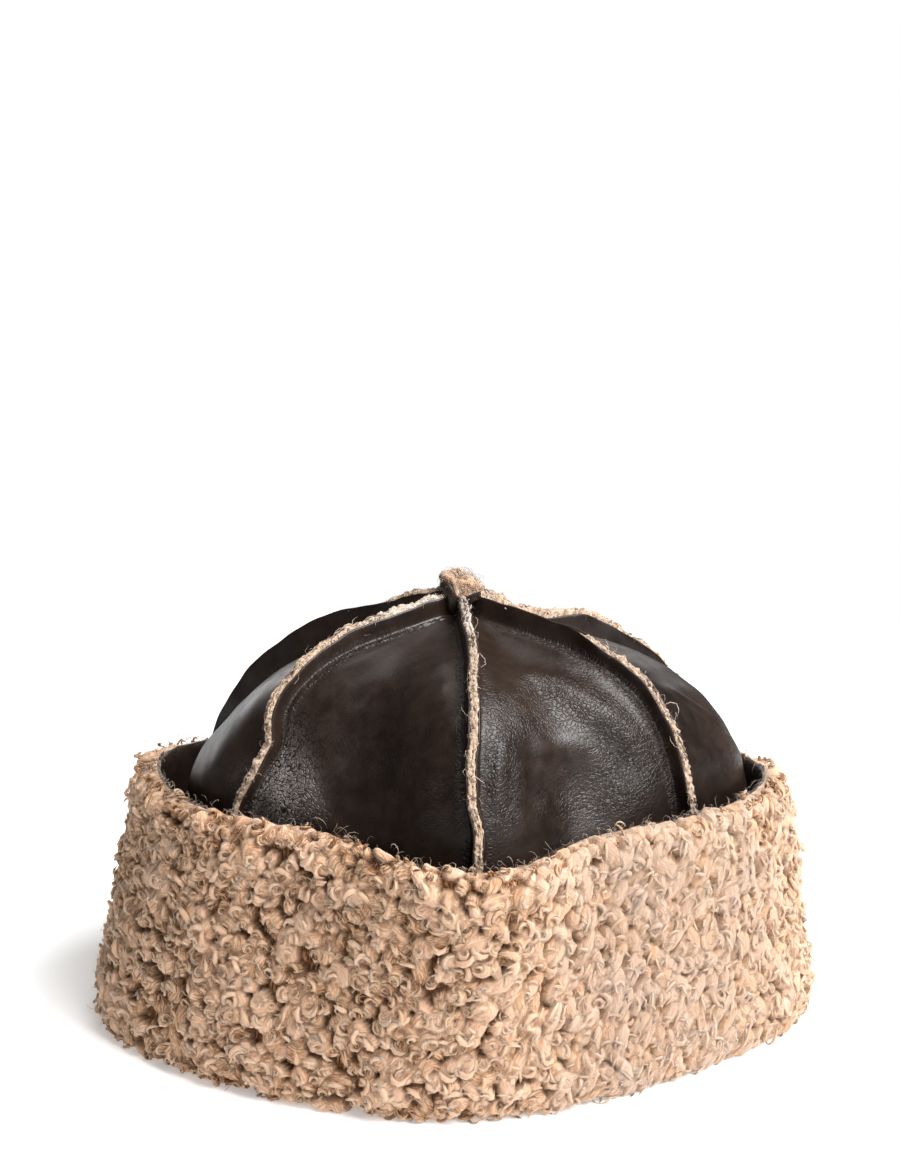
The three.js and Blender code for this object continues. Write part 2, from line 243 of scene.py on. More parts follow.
def spot(row, azimuth, height):
    """1 in the middle of a row's spot on the hat, falling away over its width and its height."""
    aside = turn_from(row["azimuth"], azimuth) / row["wide"]
    return np.exp(-(aside**2 + ((height - row["height"]) / row["tall"]) ** 2))


print("waist at the front:", round(float(plan_value(np.array(5.5), "waist")), 1), "mm")

# %% [markdown]
# ### Dents and folds
#
# Soft leather never keeps a pure form. Broad dents belong to the pattern's own shape, so they push the
# radius in or out. Long folds and creases are finer: each one is a curve drawn on the crown, and the
# leather near the curve is pushed along its own normal.

# %% The dents of the crown
dents = table_rows("azimuth height depth wide tall", (
    (302, 107, 5.2, 10, 9.5),
    (335, 100, 5.5, 15, 20),
    (313, 93, -3.5, 8, 11),
    (336, 130, -1.2, 16, 8),
    (34, 94, 4, 11, 15),
    (36, 118, -2.5, 16, 10),
    (82, 122, 2.5, 10, 9),
    (264, 112, 4, 18, 15),
    (150, 104, 3, 14, 14),
    (210, 108, 3, 14, 14),
))


def seam_azimuth(index, level):
    """The azimuth of a seam at a level, where seam 6 is seam 0 one lap on."""
    seam = seams[index % len(seams)]
    share = section_value(level, "full")
    height = section_value(level, "height")
    jogged = smooth_step(height, seam["jog_height"] - JOG_LENGTH / 2, seam["jog_height"] + JOG_LENGTH / 2)
    low = plan["azimuth"][(index % len(seams)) * 2] + RIGHT_ROUND * (index // len(seams))
    return low + seam["turn"] * (1 - share) + seam["sway"] * np.sin(np.pi * share) + seam["jog"] * jogged


def crown_at(azimuth, level):
    """Points on the outside of the crown's leather at an azimuth and a level."""
    height = section_value(level, "height")
    fullness = plan_value(azimuth, "fullness")
    share = mix(section_value(level, "flat"), section_value(level, "full"), fullness)
    spread = section_value(level, "spread")
    outline = mix(plan_value(azimuth, "waist"), plan_value(azimuth, "foot"), spread)
    radius = outline * share
    for dent in dents:
        radius = radius - dent["depth"] * spot(dent, azimuth, height)
    angle = np.radians(azimuth)
    x = APEX[0] * (1 - share) + radius * np.sin(angle)
    y = APEX[1] * (1 - share) - radius * np.cos(angle)
    return np.stack(np.broadcast_arrays(x, y, height), -1)


def crown_point(gore, across, level):
    """Points on the crown at a share across a gore, from its left seam to its right one."""
    return crown_at(mix(seam_azimuth(gore, level), seam_azimuth(gore + 1, level), across), level)


def unit(vectors):
    """The same directions with length 1."""
    return vectors / np.maximum(np.linalg.norm(vectors, axis=-1, keepdims=True), 1e-9)


SURFACE_STEP = 0.01


def step_down(gore, across, level):
    """A short step down the crown's surface."""
    low = np.maximum(level - SURFACE_STEP, 0)
    high = np.minimum(level + SURFACE_STEP, 1)
    return crown_point(gore, across, high) - crown_point(gore, across, low)


def crown_normal(gore, across, level):
    """The outward normal of a gore, from short steps on its surface."""
    left, right = (crown_point(gore, across + step, level) for step in (-SURFACE_STEP, SURFACE_STEP))
    return unit(-np.cross(right - left, step_down(gore, across, level)))


def seam_frame(index, level):
    """The point of a seam at a level, with its outward normal and the way across it to the right."""
    gore = index % len(seams)
    normal = unit(crown_normal(gore, 0, level) + crown_normal((gore - 1) % len(seams), 1, level))
    down = unit(step_down(gore, 0, level))
    return crown_point(gore, 0, level), normal, unit(-np.cross(down, normal))


# The plain model was moved so that its box stands on the origin, and the tuft at its apex tells how far.
tuft_low, tuft_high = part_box("apex_tuft")
TO_ROW = np.array([(tuft_low[axis] + tuft_high[axis]) / 2 / MM - APEX[axis] for axis in (0, 1)] + [0.0])
print("the pattern's own origin lies at", np.round(TO_ROW, 2), "mm")

# %% [markdown]
# ### Small helpers for meshes
#
# Most pieces here are grids of points that follow a formula, so one helper turns a grid into faces and
# another makes the Blender object. Waves of seeded sines serve as soft noise, because they are smooth at
# any scale and come out the same on every run.


# %% Meshes from grids, and soft noise
def grid_quads(rows, columns, ring_rows=False, ring_columns=False):
    """The four-sided faces of a grid of points numbered row by row, closed into a ring where asked."""
    row = np.arange(rows if ring_rows else rows - 1)[:, None]
    column = np.arange(columns if ring_columns else columns - 1)[None, :]
    next_row = (row + 1) % rows
    next_column = (column + 1) % columns
    corners = (
        row * columns + column,
        next_row * columns + column,
        next_row * columns + next_column,
        row * columns + next_column,
    )
    return np.stack(np.broadcast_arrays(*corners), -1).reshape(-1, 4)


def tube_faces(rows, columns):
    """The faces of a closed tube whose rows are rings of points, with its two ends shut."""
    last = rows * columns - 1
    ends = [np.arange(columns), np.arange(last, last - columns, -1)]
    return list(grid_quads(rows, columns, ring_columns=True)) + ends


def add_attributes(mesh, numbers, vectors):
    """Gives the points of a mesh their numbers and vectors."""
    for kind, key, layers in (("FLOAT", "value", numbers), ("FLOAT_VECTOR", "vector", vectors)):
        for label, values in layers.items():
            layer = mesh.attributes.new(label, kind, "POINT")
            layer.data.foreach_set(key, np.asarray(values, np.float32).ravel())


def make_object(name, points_mm, faces, materials, numbers=None, vectors=None, marks=None, origin=TO_ROW):
    """A smooth mesh object from points in millimetres. marks says which material each face has."""
    points = (np.asarray(points_mm, float).reshape(-1, 3) + origin) * MM
    mesh = bpy.data.meshes.new(name)
    sizes = np.array([len(face) for face in faces])
    corners = np.concatenate([np.asarray(face) for face in faces])
    starts = np.concatenate([[0], np.cumsum(sizes)[:-1]])
    mesh.vertices.add(len(points))
    mesh.vertices.foreach_set("co", points.astype(np.float32).ravel())
    mesh.loops.add(len(corners))
    mesh.loops.foreach_set("vertex_index", corners.astype(np.int32))
    mesh.polygons.add(len(sizes))
    mesh.polygons.foreach_set("loop_start", starts.astype(np.int32))
    mesh.update(calc_edges=True)
    mesh.validate()
    mesh.shade_smooth()
    for material in materials:
        mesh.materials.append(material)
    if marks is not None:
        mesh.polygons.foreach_set("material_index", np.asarray(marks, np.int32))
    add_attributes(mesh, numbers or {}, vectors or {})
    return add_to_scene(name, mesh)


def soft_noise(points, wavelength, seed, waves=7):
    """Smooth noise from about -1 to 1 at points in millimetres, from a few sines in seeded directions."""
    chance = np.random.default_rng(seed)
    total = np.zeros(np.shape(points)[:-1])
    for _ in range(waves):
        way = unit(chance.normal(size=3)) * (2 * math.pi / wavelength) * chance.uniform(0.7, 1.4)
        total += np.sin(points @ way + chance.uniform(0, 2 * math.pi))
    return total / math.sqrt(waves)


def stacked(*parts):
    """Points or vectors from their three parts, which may be numbers or arrays."""
    return np.stack(np.broadcast_arrays(*parts), -1)


def run_length(path):
    """How far along a path each of its points lies."""
    steps = np.linalg.norm(np.diff(path, axis=0), axis=-1)
    return np.concatenate([[0], np.cumsum(steps)])


def triangles_of(piece):
    """How many triangles a mesh object has."""
    return sum(len(face.vertices) - 2 for face in piece.data.polygons)


def hand_over(piece, replaced=None):
    """Makes a piece move with the hat, and hides the part of the plain model that it stands for."""
    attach(piece, "root")
    if replaced:
        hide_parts(replaced)
    print(piece.name, triangles_of(piece), "triangles")


print("helpers ready")

# %% [markdown]
# ## Node trees written as sums
#
# A node tree is easier to read as arithmetic. The small class below wraps the output of a node, and adds
# a Math node for each sign. Everything else comes from one method that makes a node, sets it and links
# it.


# %% A bench for node trees
class Wire:
    """An output of a node, which adds a Math node when it is used in a sum."""

    def __init__(self, bench, socket):
        self.bench = bench
        self.socket = socket

    def __add__(self, other):
        return self.bench.math("ADD", self, other)

    def __sub__(self, other):
        return self.bench.math("SUBTRACT", self, other)

    def __rsub__(self, other):
        return self.bench.math("SUBTRACT", other, self)

    def __mul__(self, other):
        return self.bench.math("MULTIPLY", self, other)

    __radd__ = __add__
    __rmul__ = __mul__


class Bench:
    """A node tree, with short ways to add nodes to it."""

    def __init__(self, tree):
        self.tree = tree
        tree.nodes.clear()

    def node(self, kind, settings=None, inputs=None):
        """A node of a kind, with its settings made first and its inputs then set or linked."""
        made = self.tree.nodes.new(kind)
        for key, value in (settings or {}).items():
            setattr(made, key, value)
        for key, value in (inputs or {}).items():
            socket = next(s for s in made.inputs if s.enabled and key in (s.identifier, s.name))
            if isinstance(value, Wire):
                self.tree.links.new(value.socket, socket)
            else:
                socket.default_value = value
        return made

    def wire(self, kind, settings=None, inputs=None, output=None):
        """The output of a new node that has a name, or else the first one in use."""
        made = self.node(kind, settings, inputs)
        return Wire(self, next(s for s in made.outputs if s.enabled and output in (None, s.name)))

    def math(self, operation, *values):
        """A Math node on up to three numbers."""
        names = ("Value", "Value_001", "Value_002")
        return self.wire("ShaderNodeMath", {"operation": operation}, dict(zip(names, values)))

    def vector_math(self, operation, first, **second):
        """A Vector Math node on a vector and a second input, which is named."""
        return self.wire("ShaderNodeVectorMath", {"operation": operation}, {"Vector": first} | second)


class MaterialBench(Bench):
    """The node tree of one material, with short ways to add its noises and colours."""

    def __init__(self, name):
        self.material = bpy.data.materials.new(name)
        self.material.use_nodes = True
        super().__init__(self.material.node_tree)

    def between(self, value, low, high, start=0.0, end=1.0):
        """A number brought softly from the range low to high into the range start to end."""
        inputs = {"Value": value, "From Min": low, "From Max": high, "To Min": start, "To Max": end}
        return self.wire("ShaderNodeMapRange", {"interpolation_type": "SMOOTHSTEP"}, inputs)

    def colour(self, start, end, share, blend="MIX"):
        """A colour that goes from start to end."""
        inputs = {"Factor_Float": share, "A_Color": start, "B_Color": end}
        return self.wire("ShaderNodeMix", {"data_type": "RGBA", "blend_type": blend}, inputs)

    def place(self):
        """Object coordinates in metres."""
        return self.wire("ShaderNodeTexCoord", output="Object")

    def stretched(self, place, scale):
        """A place whose axes are made longer or shorter."""
        return self.wire("ShaderNodeMapping", {}, {"Vector": place, "Scale": scale})

    def noise(self, place, scale, detail=2.0, roughness=0.5, distortion=0.0, output="Fac"):
        """Cloudy noise at a place, with scale cells to the metre."""
        inputs = {"Vector": place, "Scale": scale, "Detail": detail, "Roughness": roughness}
        return self.wire("ShaderNodeTexNoise", {}, inputs | {"Distortion": distortion}, output)

    def folds(self, place, scale):
        """Round lumps between sharp grooves: noise folded about its middle."""
        return self.between(self.math("ABSOLUTE", self.noise(place, scale, 1.5, 0.45) - 0.5), 0.0, 0.13)

    def net(self, place, scale):
        """Flat cells between thin grooves, with scale cells to the metre."""
        inputs = {"Vector": place, "Scale": scale}
        cells = self.wire("ShaderNodeTexVoronoi", {"feature": "DISTANCE_TO_EDGE"}, inputs)
        return self.between(cells, 0.0, 0.17)

    def number(self, label, output="Fac"):
        """A number attribute of the mesh."""
        return self.wire("ShaderNodeAttribute", {"attribute_name": label}, None, output)

    def vector(self, label):
        """A vector attribute of the mesh."""
        return self.number(label, "Vector")

    def bump(self, height, distance, strength=0.9):
        """A normal that leans with a height, where a height of 1 is as high as the distance in metres."""
        inputs = {"Height": height, "Distance": distance, "Strength": strength}
        return self.wire("ShaderNodeBump", {}, inputs)

    def finish(self, inputs):
        """The material, with its surface shader."""
        shader = self.wire("ShaderNodeBsdfPrincipled", {}, inputs)
        self.node("ShaderNodeOutputMaterial", {}, {"Surface": shader})
        print("material", self.material.name, "has", len(self.tree.nodes), "nodes")
        return self.material


print("bench ready")

# %% [markdown]
# ### The leather
#
# The leather face of the skin is a very dark brown with a satin gloss. Where it is worked soft, on the
# shoulder of a gore and in its corners, it breaks into fine short wrinkles that catch the light, and
# elsewhere it is nearly smooth. The mesh carries a number called crinkle that says how broken the leather
# is, so one material does both. A wrinkle is a round lump between two sharp grooves, and noise folded
# about its middle value has that form. Beside a rib the stitches gather the leather into a thin rope of
# puckers, and there the noise follows the seam.

# %% Make the leather
LEATHER_DARK = (0.0075, 0.0043, 0.0031, 1)
LEATHER_BROWN = (0.0235, 0.0135, 0.0092, 1)
LEATHER_RUBBED = (0.055, 0.036, 0.026, 1)
# The grey painted on the tops of the wrinkles as a sheen.
LEATHER_PAINTED_SHEEN = (0.240, 0.215, 0.200, 1)
MIDDLE_GREY = (0.5, 0.5, 0.5)


def make_leather():
    """Dark brown satin leather with a fine grain, wrinkles where the mesh says so, and a grey sheen painted
    on them in a few patches.
    """
    bench = MaterialBench("satin_leather")
    place = bench.place()
    mottled = bench.noise(place, 210, 4, 0.6)
    depth = bench.between(bench.noise(place, 26, 3) * 0.75 + mottled * 0.35, 0.34, 0.74)
    brown = bench.colour(LEATHER_DARK, LEATHER_BROWN, depth)
    rubbed = bench.between(bench.number("rubbed") + mottled * 0.4, 0.5, 1.1)
    edged = bench.colour(brown, LEATHER_RUBBED, rubbed)
    swirl = bench.vector_math("SUBTRACT", bench.noise(place, 150, output="Color"), Vector_001=MIDDLE_GREY)
    bent = bench.vector_math("ADD", place, Vector_001=bench.vector_math("SCALE", swirl, Scale=0.004))
    level_lines = bench.folds(bench.stretched(bent, (0.7, 0.7, 1.1)), 640)
    upright_lines = bench.folds(bench.stretched(bent, (1.0, 1.0, 0.75)), 640)
    way = bench.between(bench.noise(place, 45, 1), 0.42, 0.58)
    broken = level_lines * way + upright_lines * (1 - way)
    fine = bench.net(bent, 760)
    rope = bench.folds(bench.vector("stitch"), 0.8)
    grain = bench.noise(place, 2600, 3, 0.65)
    crinkle = bench.number("crinkle")
    gathered = bench.number("gathered")
    # The painted sheen: in its patches the tops of the wrinkles are painted grey and the fine wrinkles are
    # deeper.
    worn = bench.number("worn")
    creased = broken * crinkle * 0.32 + fine * (crinkle * 0.40 + worn * 1.1 + 0.02)
    sheen_tops = bench.between(broken * 0.5 + fine * 0.7 + mottled * 0.5, 0.70, 1.15)
    return bench.finish({
        "Base Color": bench.colour(edged, LEATHER_PAINTED_SHEEN, worn * sheen_tops),
        "Roughness": bench.between(mottled + crinkle * 0.1, 0.3, 0.8, 0.29, 0.41) + gathered * 0.2,
        "Normal": bench.bump(creased + rope * gathered * 1.5 + grain * 0.07, 0.00035),
        "Specular IOR Level": 0.38,
    })


leather = make_leather()

# %% [markdown]
# ### The wool
#
# Each lock is a bundle of fine hairs, pale at the tip, with shade painted into its colour near the skin
# where little light gets in.
# The locks carry their own directions as attributes, so the stripes of the hair run along every curl
# however it is turned. Each lock also has a tint of its own, because no two locks of a fleece have quite
# the same colour, and a number called airy says where the fleece is fluffy and softer in colour. The wool
# inside the crown is pressed flat by the head, and the wool in the seams is cut short and partly
# bleached, so both have their own finish.

# %% Make the wool
WOOL_DEEP = (0.135, 0.047, 0.014, 1)
WOOL_MIDDLE = (0.520, 0.308, 0.175, 1)
WOOL_PALE = (0.720, 0.485, 0.345, 1)
WOOL_AIRY = (0.468, 0.340, 0.262, 1)
WOOL_SOFT = (0.690, 0.430, 0.265, 1)
WOOL_SHADED = (0.84, 0.79, 0.73, 1)
WOOL_LIT = (1, 1, 1, 1)
SHEEN_TINT = (1.0, 0.82, 0.64, 1)
HAIR_STRETCH = (1.0, 1.0, 0.2)


def make_wool():
    """Pale curly wool whose hairs follow each lock, with shade painted darker towards the skin."""
    bench = MaterialBench("curly_wool")
    along_hair = bench.stretched(bench.vector("strand"), HAIR_STRETCH)
    streaks = bench.between(bench.noise(along_hair, 1.7, 3, 0.62), 0.38, 0.62)
    tint = bench.number("tint")
    airy = bench.number("airy")
    drawn = streaks * (0.52 - 0.26 * airy)
    # outward paints shade: low in the pile the colour goes dark towards WOOL_DEEP, less where the fleece is
    # airy.
    light = bench.between(bench.number("outward") * 0.72 + drawn + tint * 0.16 + airy * 0.46, 0.16, 1.36)
    softened = bench.between(airy, 0.1, 0.7)
    middle = bench.colour(WOOL_MIDDLE, WOOL_SOFT, softened)
    lower = bench.colour(WOOL_DEEP, middle, bench.between(light, 0.0, 0.5))
    tip = bench.colour(WOOL_PALE, WOOL_AIRY, softened)
    colour = bench.colour(lower, tip, bench.between(light, 0.28, 0.95))
    shade = bench.colour(WOOL_SHADED, WOOL_LIT, bench.between(tint + streaks * 0.5, 0.0, 1.1))
    return bench.finish({
        "Base Color": bench.colour(colour, shade, 1.0, "MULTIPLY"),
        "Roughness": 0.78,
        "Normal": bench.bump(streaks * (1 - 0.55 * airy), 0.0005),
        "Specular IOR Level": 0.0,
        "Sheen Weight": 0.12,
        "Sheen Roughness": 0.5,
        "Sheen Tint": SHEEN_TINT,
        "Subsurface Weight": 0.65,
        "Subsurface Radius": (1.0, 0.90, 0.80),
        "Subsurface Scale": 0.0024,
    })


# %% Make the pressed wool
FELT_DEEP = (0.44, 0.29, 0.18, 1)
FELT_PALE = (0.66, 0.45, 0.30, 1)


def make_wool_bed():
    """The pressed wool inside the crown, in flat curls as a worn lining of wool has."""
    bench = MaterialBench("wool_ground")
    place = bench.place()
    felt = bench.noise(place, 900, 4, 0.65)
    curl = bench.folds(place, 210)
    pressed = bench.between(felt * 0.9 + curl * 0.25, 0.25, 0.85)
    return bench.finish({
        "Base Color": bench.colour(FELT_DEEP, FELT_PALE, pressed),
        "Roughness": 0.9,
        "Normal": bench.bump(felt * 0.6 + curl * 0.7, 0.0009),
        "Specular IOR Level": 0.15,
    })


# %% Make the wool of the seams
CUT_DEEP = (0.22, 0.14, 0.085, 1)
CUT_PALE = (0.60, 0.435, 0.31, 1)
CUT_BLEACHED = (0.62, 0.55, 0.48, 1)
# The shade in the small pits, painted as a nearly black brown.
CUT_PIT_SHADE = (0.085, 0.042, 0.022, 1)


def make_seam_wool():
    """The cut wool between a seam's two leathers: pale, stringy, pitted along its middle, with painted
    shade in the pits.
    """
    bench = MaterialBench("seam_wool")
    place = bench.place()
    middle = bench.number("middle")
    strings = bench.noise(bench.vector("strand"), 1.0, 4, 0.7, 0.6)
    fluff = bench.noise(place, 1100, 4, 0.7)
    patchy = bench.between(bench.noise(place, 85, 1), 0.40, 0.62)
    # Painted shade: the pits, and patches of them along the middle of the strip.
    middle_pit_shade = bench.between(middle * patchy + fluff * 0.5, 0.92, 1.12)
    shaded_pits = bench.math("MAXIMUM", bench.between(fluff + middle * 0.06 + patchy * 0.06, 0.60, 0.68), middle_pit_shade)
    tip = bench.colour(CUT_PALE, CUT_BLEACHED, bench.number("bleached"))
    pale = bench.colour(CUT_DEEP, tip, bench.between(strings, 0.34, 0.58))
    return bench.finish({
        "Base Color": bench.colour(pale, CUT_PIT_SHADE, shaded_pits),
        "Roughness": 0.8,
        "Normal": bench.bump(strings + fluff * 0.6 - shaded_pits * 0.9, 0.0009),
        "Specular IOR Level": 0.2,
        "Sheen Weight": 0.3,
        "Sheen Roughness": 0.5,
    })


wool = make_wool()
wool_bed = make_wool_bed()
seam_wool = make_seam_wool()

# %% [markdown]
# ## The gores of the crown
#
# Each gore is a wall of skin that reaches from seam to seam. At a seam the skins are laid wool to wool
# and sewn a few millimetres in from their edges, so the edges stand up as a rib. A loop of points across
# the gore holds both faces of the skin and both ribs, and the loops are laid from the apex down to the
# fold.

# %% The rib at a seam
RIB_HEIGHT_IN_FOLD = 3
RIB_APEX_RANGE = (0.50, 0.70)
RIB_LOW_RANGE = (94, 108)
RIB_SQUEEZE = (30, 80)
RIB_CLOSING = 0.85
WOOL_HIDDEN = 2.4
RIB_WOOL = 1.3

# Across is the distance from the middle of the seam, and out is a share of the rib's height. The first
# rows are the cut edge of the leather and the last ones its foot, which runs out into the gore.
RIB_PROFILE = (
    (1.35, 0.96),
    (1.52, 1.0),
    (1.80, 0.985),
    (1.96, 0.92),
    (2.00, 0.78),
    (2.00, 0.60),
    (2.00, 0.42),
    (2.03, 0.26),
    (2.12, 0.13),
    (2.32, 0.05),
    (2.70, 0.015),
)
RIB_LEAF = 2.02
RIB_FOOT = 3.3
CUT_EDGE = 1.7


def rib_height_at(index, level):
    """How far a rib stands out of the crown. The cuff squeezes it flat, and the apex has its own height."""
    in_fold = 1 - smooth_step(section_value(level, "height"), *RIB_SQUEEZE)
    at_apex = 1 - smooth_step(section_value(level, "full"), *RIB_APEX_RANGE)
    at_rim = 1 - smooth_step(section_value(level, "height"), *RIB_LOW_RANGE)
    seam = seams[index % len(seams)]
    seen = mix(mix(seam["rib"], seam["rib_apex"], at_apex), seam["rib_low"], at_rim)
    return mix(seen, RIB_HEIGHT_IN_FOLD, in_fold)


def rib_squeeze(width):
    """How much narrower a rib's leaf and foot are, where a gore of this width leaves them little room."""
    room = 0.46 * width
    leaf = np.minimum(1, room / (2 * RIB_LEAF))
    foot = np.minimum(leaf, (room - RIB_LEAF * leaf) / (RIB_FOOT - RIB_LEAF))
    return leaf, foot


def squeezed(across_mm, squeeze):
    """A distance from the middle of a seam, made narrower by the leaf's and the foot's squeeze."""
    leaf, foot = squeeze
    aside = abs(across_mm)
    return math.copysign(1, across_mm) * (min(aside, RIB_LEAF) * leaf + max(aside - RIB_LEAF, 0) * foot)


def rib_sway(index, level):
    """How far the rib leans to its right and how much taller it is than even, in millimetres."""
    phase = (index % len(seams)) * 1.7
    lean = 0.32 * np.sin(level * 33 + phase) + 0.16 * np.sin(level * 71 + 2.3 * phase)
    lift = 0.18 * np.sin(level * 47 + 1.3 * phase) + 0.08 * np.sin(level * 113 + 0.7 * phase)
    return lean, lift


def loose_at(index, level):
    """How much taller than usual the wool stands between the leaves. Below zero it hides between them."""
    seam = seams[index % len(seams)]
    share = section_value(level, "full")
    is_far = smooth_step(share, seam["loose_until"] - 0.12, seam["loose_until"] + 0.12)
    return mix(seam["loose"] * smooth_step(share, 0.0, 0.06), seam["loose_far"], is_far)


def rib_point(index, level, across, out_share, out=0.0):
    """Points in the rib's own section: across in millimetres, out_share of its height plus out."""
    point, normal, right = seam_frame(index, level)
    lean, lift = rib_sway(index, level)
    height = (rib_height_at(index, level) + lift) * out_share + out
    up = np.clip(out_share, 0, 1)
    closed = RIB_CLOSING * np.clip(-loose_at(index, level) / WOOL_HIDDEN, 0, 1) * up
    across = across * (1 - closed) + lean * up
    return point + right * across[..., None] + normal * height[..., None]


print("ribs", sorted({seam["rib"] for seam in seams}), "mm tall with", 2 * RIB_WOOL, "mm of wool in them")

# %% Creases drawn on the crown
# Each crease goes from one (azimuth, height) through a middle one to an end. depth is in millimetres,
# below zero for a raised fold, and width is how far its slope reaches to each side.
creases = table_rows("start middle end depth width", (
    ((315, 112), (320, 101), (327, 88), 0.9, 5.0),
    ((350, 112), (347, 102), (343, 91), 0.5, 5.0),
    ((16, 119), (38, 129), (56, 108), -2.0, 6.5),
    ((8, 90), (9.5, 106), (14, 119), -1.2, 4.5),
    ((21, 118), (21, 104), (18, 91), 1.0, 4.5),
    ((30, 116), (42, 116), (50, 100), 1.2, 6.0),
    ((24, 92), (27, 101), (34, 110), -0.35, 1.6),
    ((76, 122), (82, 113), (88, 101), -0.7, 1.4),
    ((70, 110), (78, 103), (84, 92), 0.6, 5.0),
    ((276, 122), (268, 112), (264, 98), 0.4, 8.0),
    ((288, 112), (284, 104), (282, 92), -0.4, 7.0),
    ((130, 122), (138, 110), (140, 96), 1.0, 4.0),
    ((160, 124), (156, 110), (160, 96), -0.9, 4.0),
    ((196, 122), (204, 108), (202, 96), 1.0, 4.0),
    ((226, 120), (230, 108), (224, 94), -0.9, 4.0),
))
CREASE_STEPS = 14


def curve_through(row, steps):
    """Points on a curve from a row's start through its middle to its end."""
    share = np.linspace(0, 1, steps)
    start, middle, end = (np.array(row[key], float) for key in ("start", "middle", "end"))
    pull = 2 * middle - (start + end) / 2
    weights = ((1 - share) ** 2, 2 * share * (1 - share), share**2)
    return sum(np.outer(weight, point) for weight, point in zip(weights, (start, pull, end)))


def crease_depth(points):
    """How far the creases push each point in, in millimetres."""
    total = np.zeros(points.shape[:-1])
    for crease in creases:
        way = curve_through(crease, CREASE_STEPS)
        path = crown_at(way[:, 0], level_at(way[:, 1]))
        nearest = np.full(points.shape[:-1], np.inf)
        fade = np.zeros(points.shape[:-1])
        for step in range(len(path) - 1):
            start = path[step]
            way = path[step + 1] - start
            share = np.clip((points - start) @ way / (way @ way), 0, 1)
            distance = np.linalg.norm(points - start - share[..., None] * way, axis=-1)
            place = (step + share) / (len(path) - 1)
            closer = distance < nearest
            fade = np.where(closer, np.sin(math.pi * np.clip(place, 0.02, 0.98)) ** 0.8, fade)
            nearest = np.minimum(nearest, distance)
        reach = (nearest / crease["width"]) ** 2
        total += crease["depth"] * (1 - 0.8 * reach) * np.exp(-reach) * fade
    return total


print(len(creases), "creases")

# %% Wrinkled patches and puckers
# Patches where the leather is broken into fine wrinkles: azimuth, height, reach in degrees and in
# millimetres.
PATCH_COLUMNS = "azimuth height wide tall strength"
patches = table_rows(PATCH_COLUMNS, (
    (10, 108, 6, 20, 0.9),
    (34, 124, 17, 7, 0.9),
    (51, 108, 9, 14, 0.9),
    (30, 96, 12, 10, 0.3),
    (44, 94, 12, 6, 0.45),
    (306, 96, 10, 14, 1.1),
    (316, 88, 9, 6, 0.8),
    (356, 100, 4, 16, 0.35),
    (100, 100, 16, 12, 0.6),
    (140, 104, 20, 14, 0.8),
    (168, 96, 14, 12, 0.6),
    (205, 104, 20, 14, 0.8),
    (240, 96, 14, 10, 0.6),
))

# Patches where a grey sheen is painted on the tops of the wrinkles, and the fine wrinkles are deeper.
painted_sheen_patches = table_rows(PATCH_COLUMNS, (
    (308, 92, 8.0, 12, 1.3),
    (306, 105, 4.5, 8, 0.7),
))
PUCKER_PLACE = 3.5
PUCKER_REACH = 1.5
PUCKER_HEIGHT = 0.6
PUCKER_LENGTH = 2.6


def patched(rows, azimuth, height):
    """How far some patches cover a place, from 0 to 1."""
    return np.clip(sum(patch["strength"] * spot(patch, azimuth, height) for patch in rows), 0, 1)


def gathered_at(points, distance, seam, gore):
    """How gathered the leather is by the stitches of a seam, from 0 to 1, in a thin line beside its rib."""
    strength = np.clip(0.75 + 0.4 * soft_noise(points, 24, 90 + gore), 0.3, 1)
    return seam["pucker"] * strength * bell(distance - PUCKER_PLACE, PUCKER_REACH)


print(len(patches), "wrinkled patches")

# %% Lay out a gore in rows and columns
VISIBLE_LEVEL = 0.745
VISIBLE_ROWS = 150
HIDDEN_ROWS = 10
COLUMNS = 60
COLUMN_CROWDING = 0.45
INNER_COLUMNS = 18
INNER_RANGE = (0.02, 0.98)
INNER_DISTANCE = 30.0
LEATHER_UNDERSIDE = -0.6
UNDULATION = ((38, 0.45), (15, 0.16))


def gore_levels(fineness):
    """Levels that are close together where the crown shows and far apart behind the cuff."""
    seen = np.linspace(0, VISIBLE_LEVEL, round(VISIBLE_ROWS * fineness))
    hidden = np.linspace(VISIBLE_LEVEL, 1, HIDDEN_ROWS + 1)[1:]
    return np.concatenate([seen, hidden])


def gore_shares(fineness):
    """Shares across a gore, closer together near its seams."""
    even = np.linspace(0, 1, round(COLUMNS * fineness))
    return mix(even, (1 - np.cos(math.pi * even)) / 2, COLUMN_CROWDING)


def gore_width(gore, levels):
    """How wide a gore is at each level."""
    left = crown_point(gore, 0, levels)
    return np.linalg.norm(crown_point((gore + 1) % len(seams), 0, levels) - left, axis=-1)


def column_of(points, distance=INNER_DISTANCE, cut=0.0, gathered=0.0):
    """A column of a gore's points, with its distance from the seam and how cut and how gathered it is."""
    return points, *(np.full(len(points), value) for value in (distance, cut, gathered))


def leaf_columns(gore, index, side, levels, squeeze):
    """The columns of one of a gore's two rib leaves, from the cut edge to the foot."""
    columns = []
    for across, out_share in RIB_PROFILE:
        points = rib_point(index, levels, squeezed(side * across, squeeze), np.full(len(levels), out_share))
        gathered = float(across > RIB_LEAF) * gathered_at(points, across, seams[index % len(seams)], gore)
        columns.append(column_of(points, across, float(across < CUT_EDGE), gathered))
    return columns


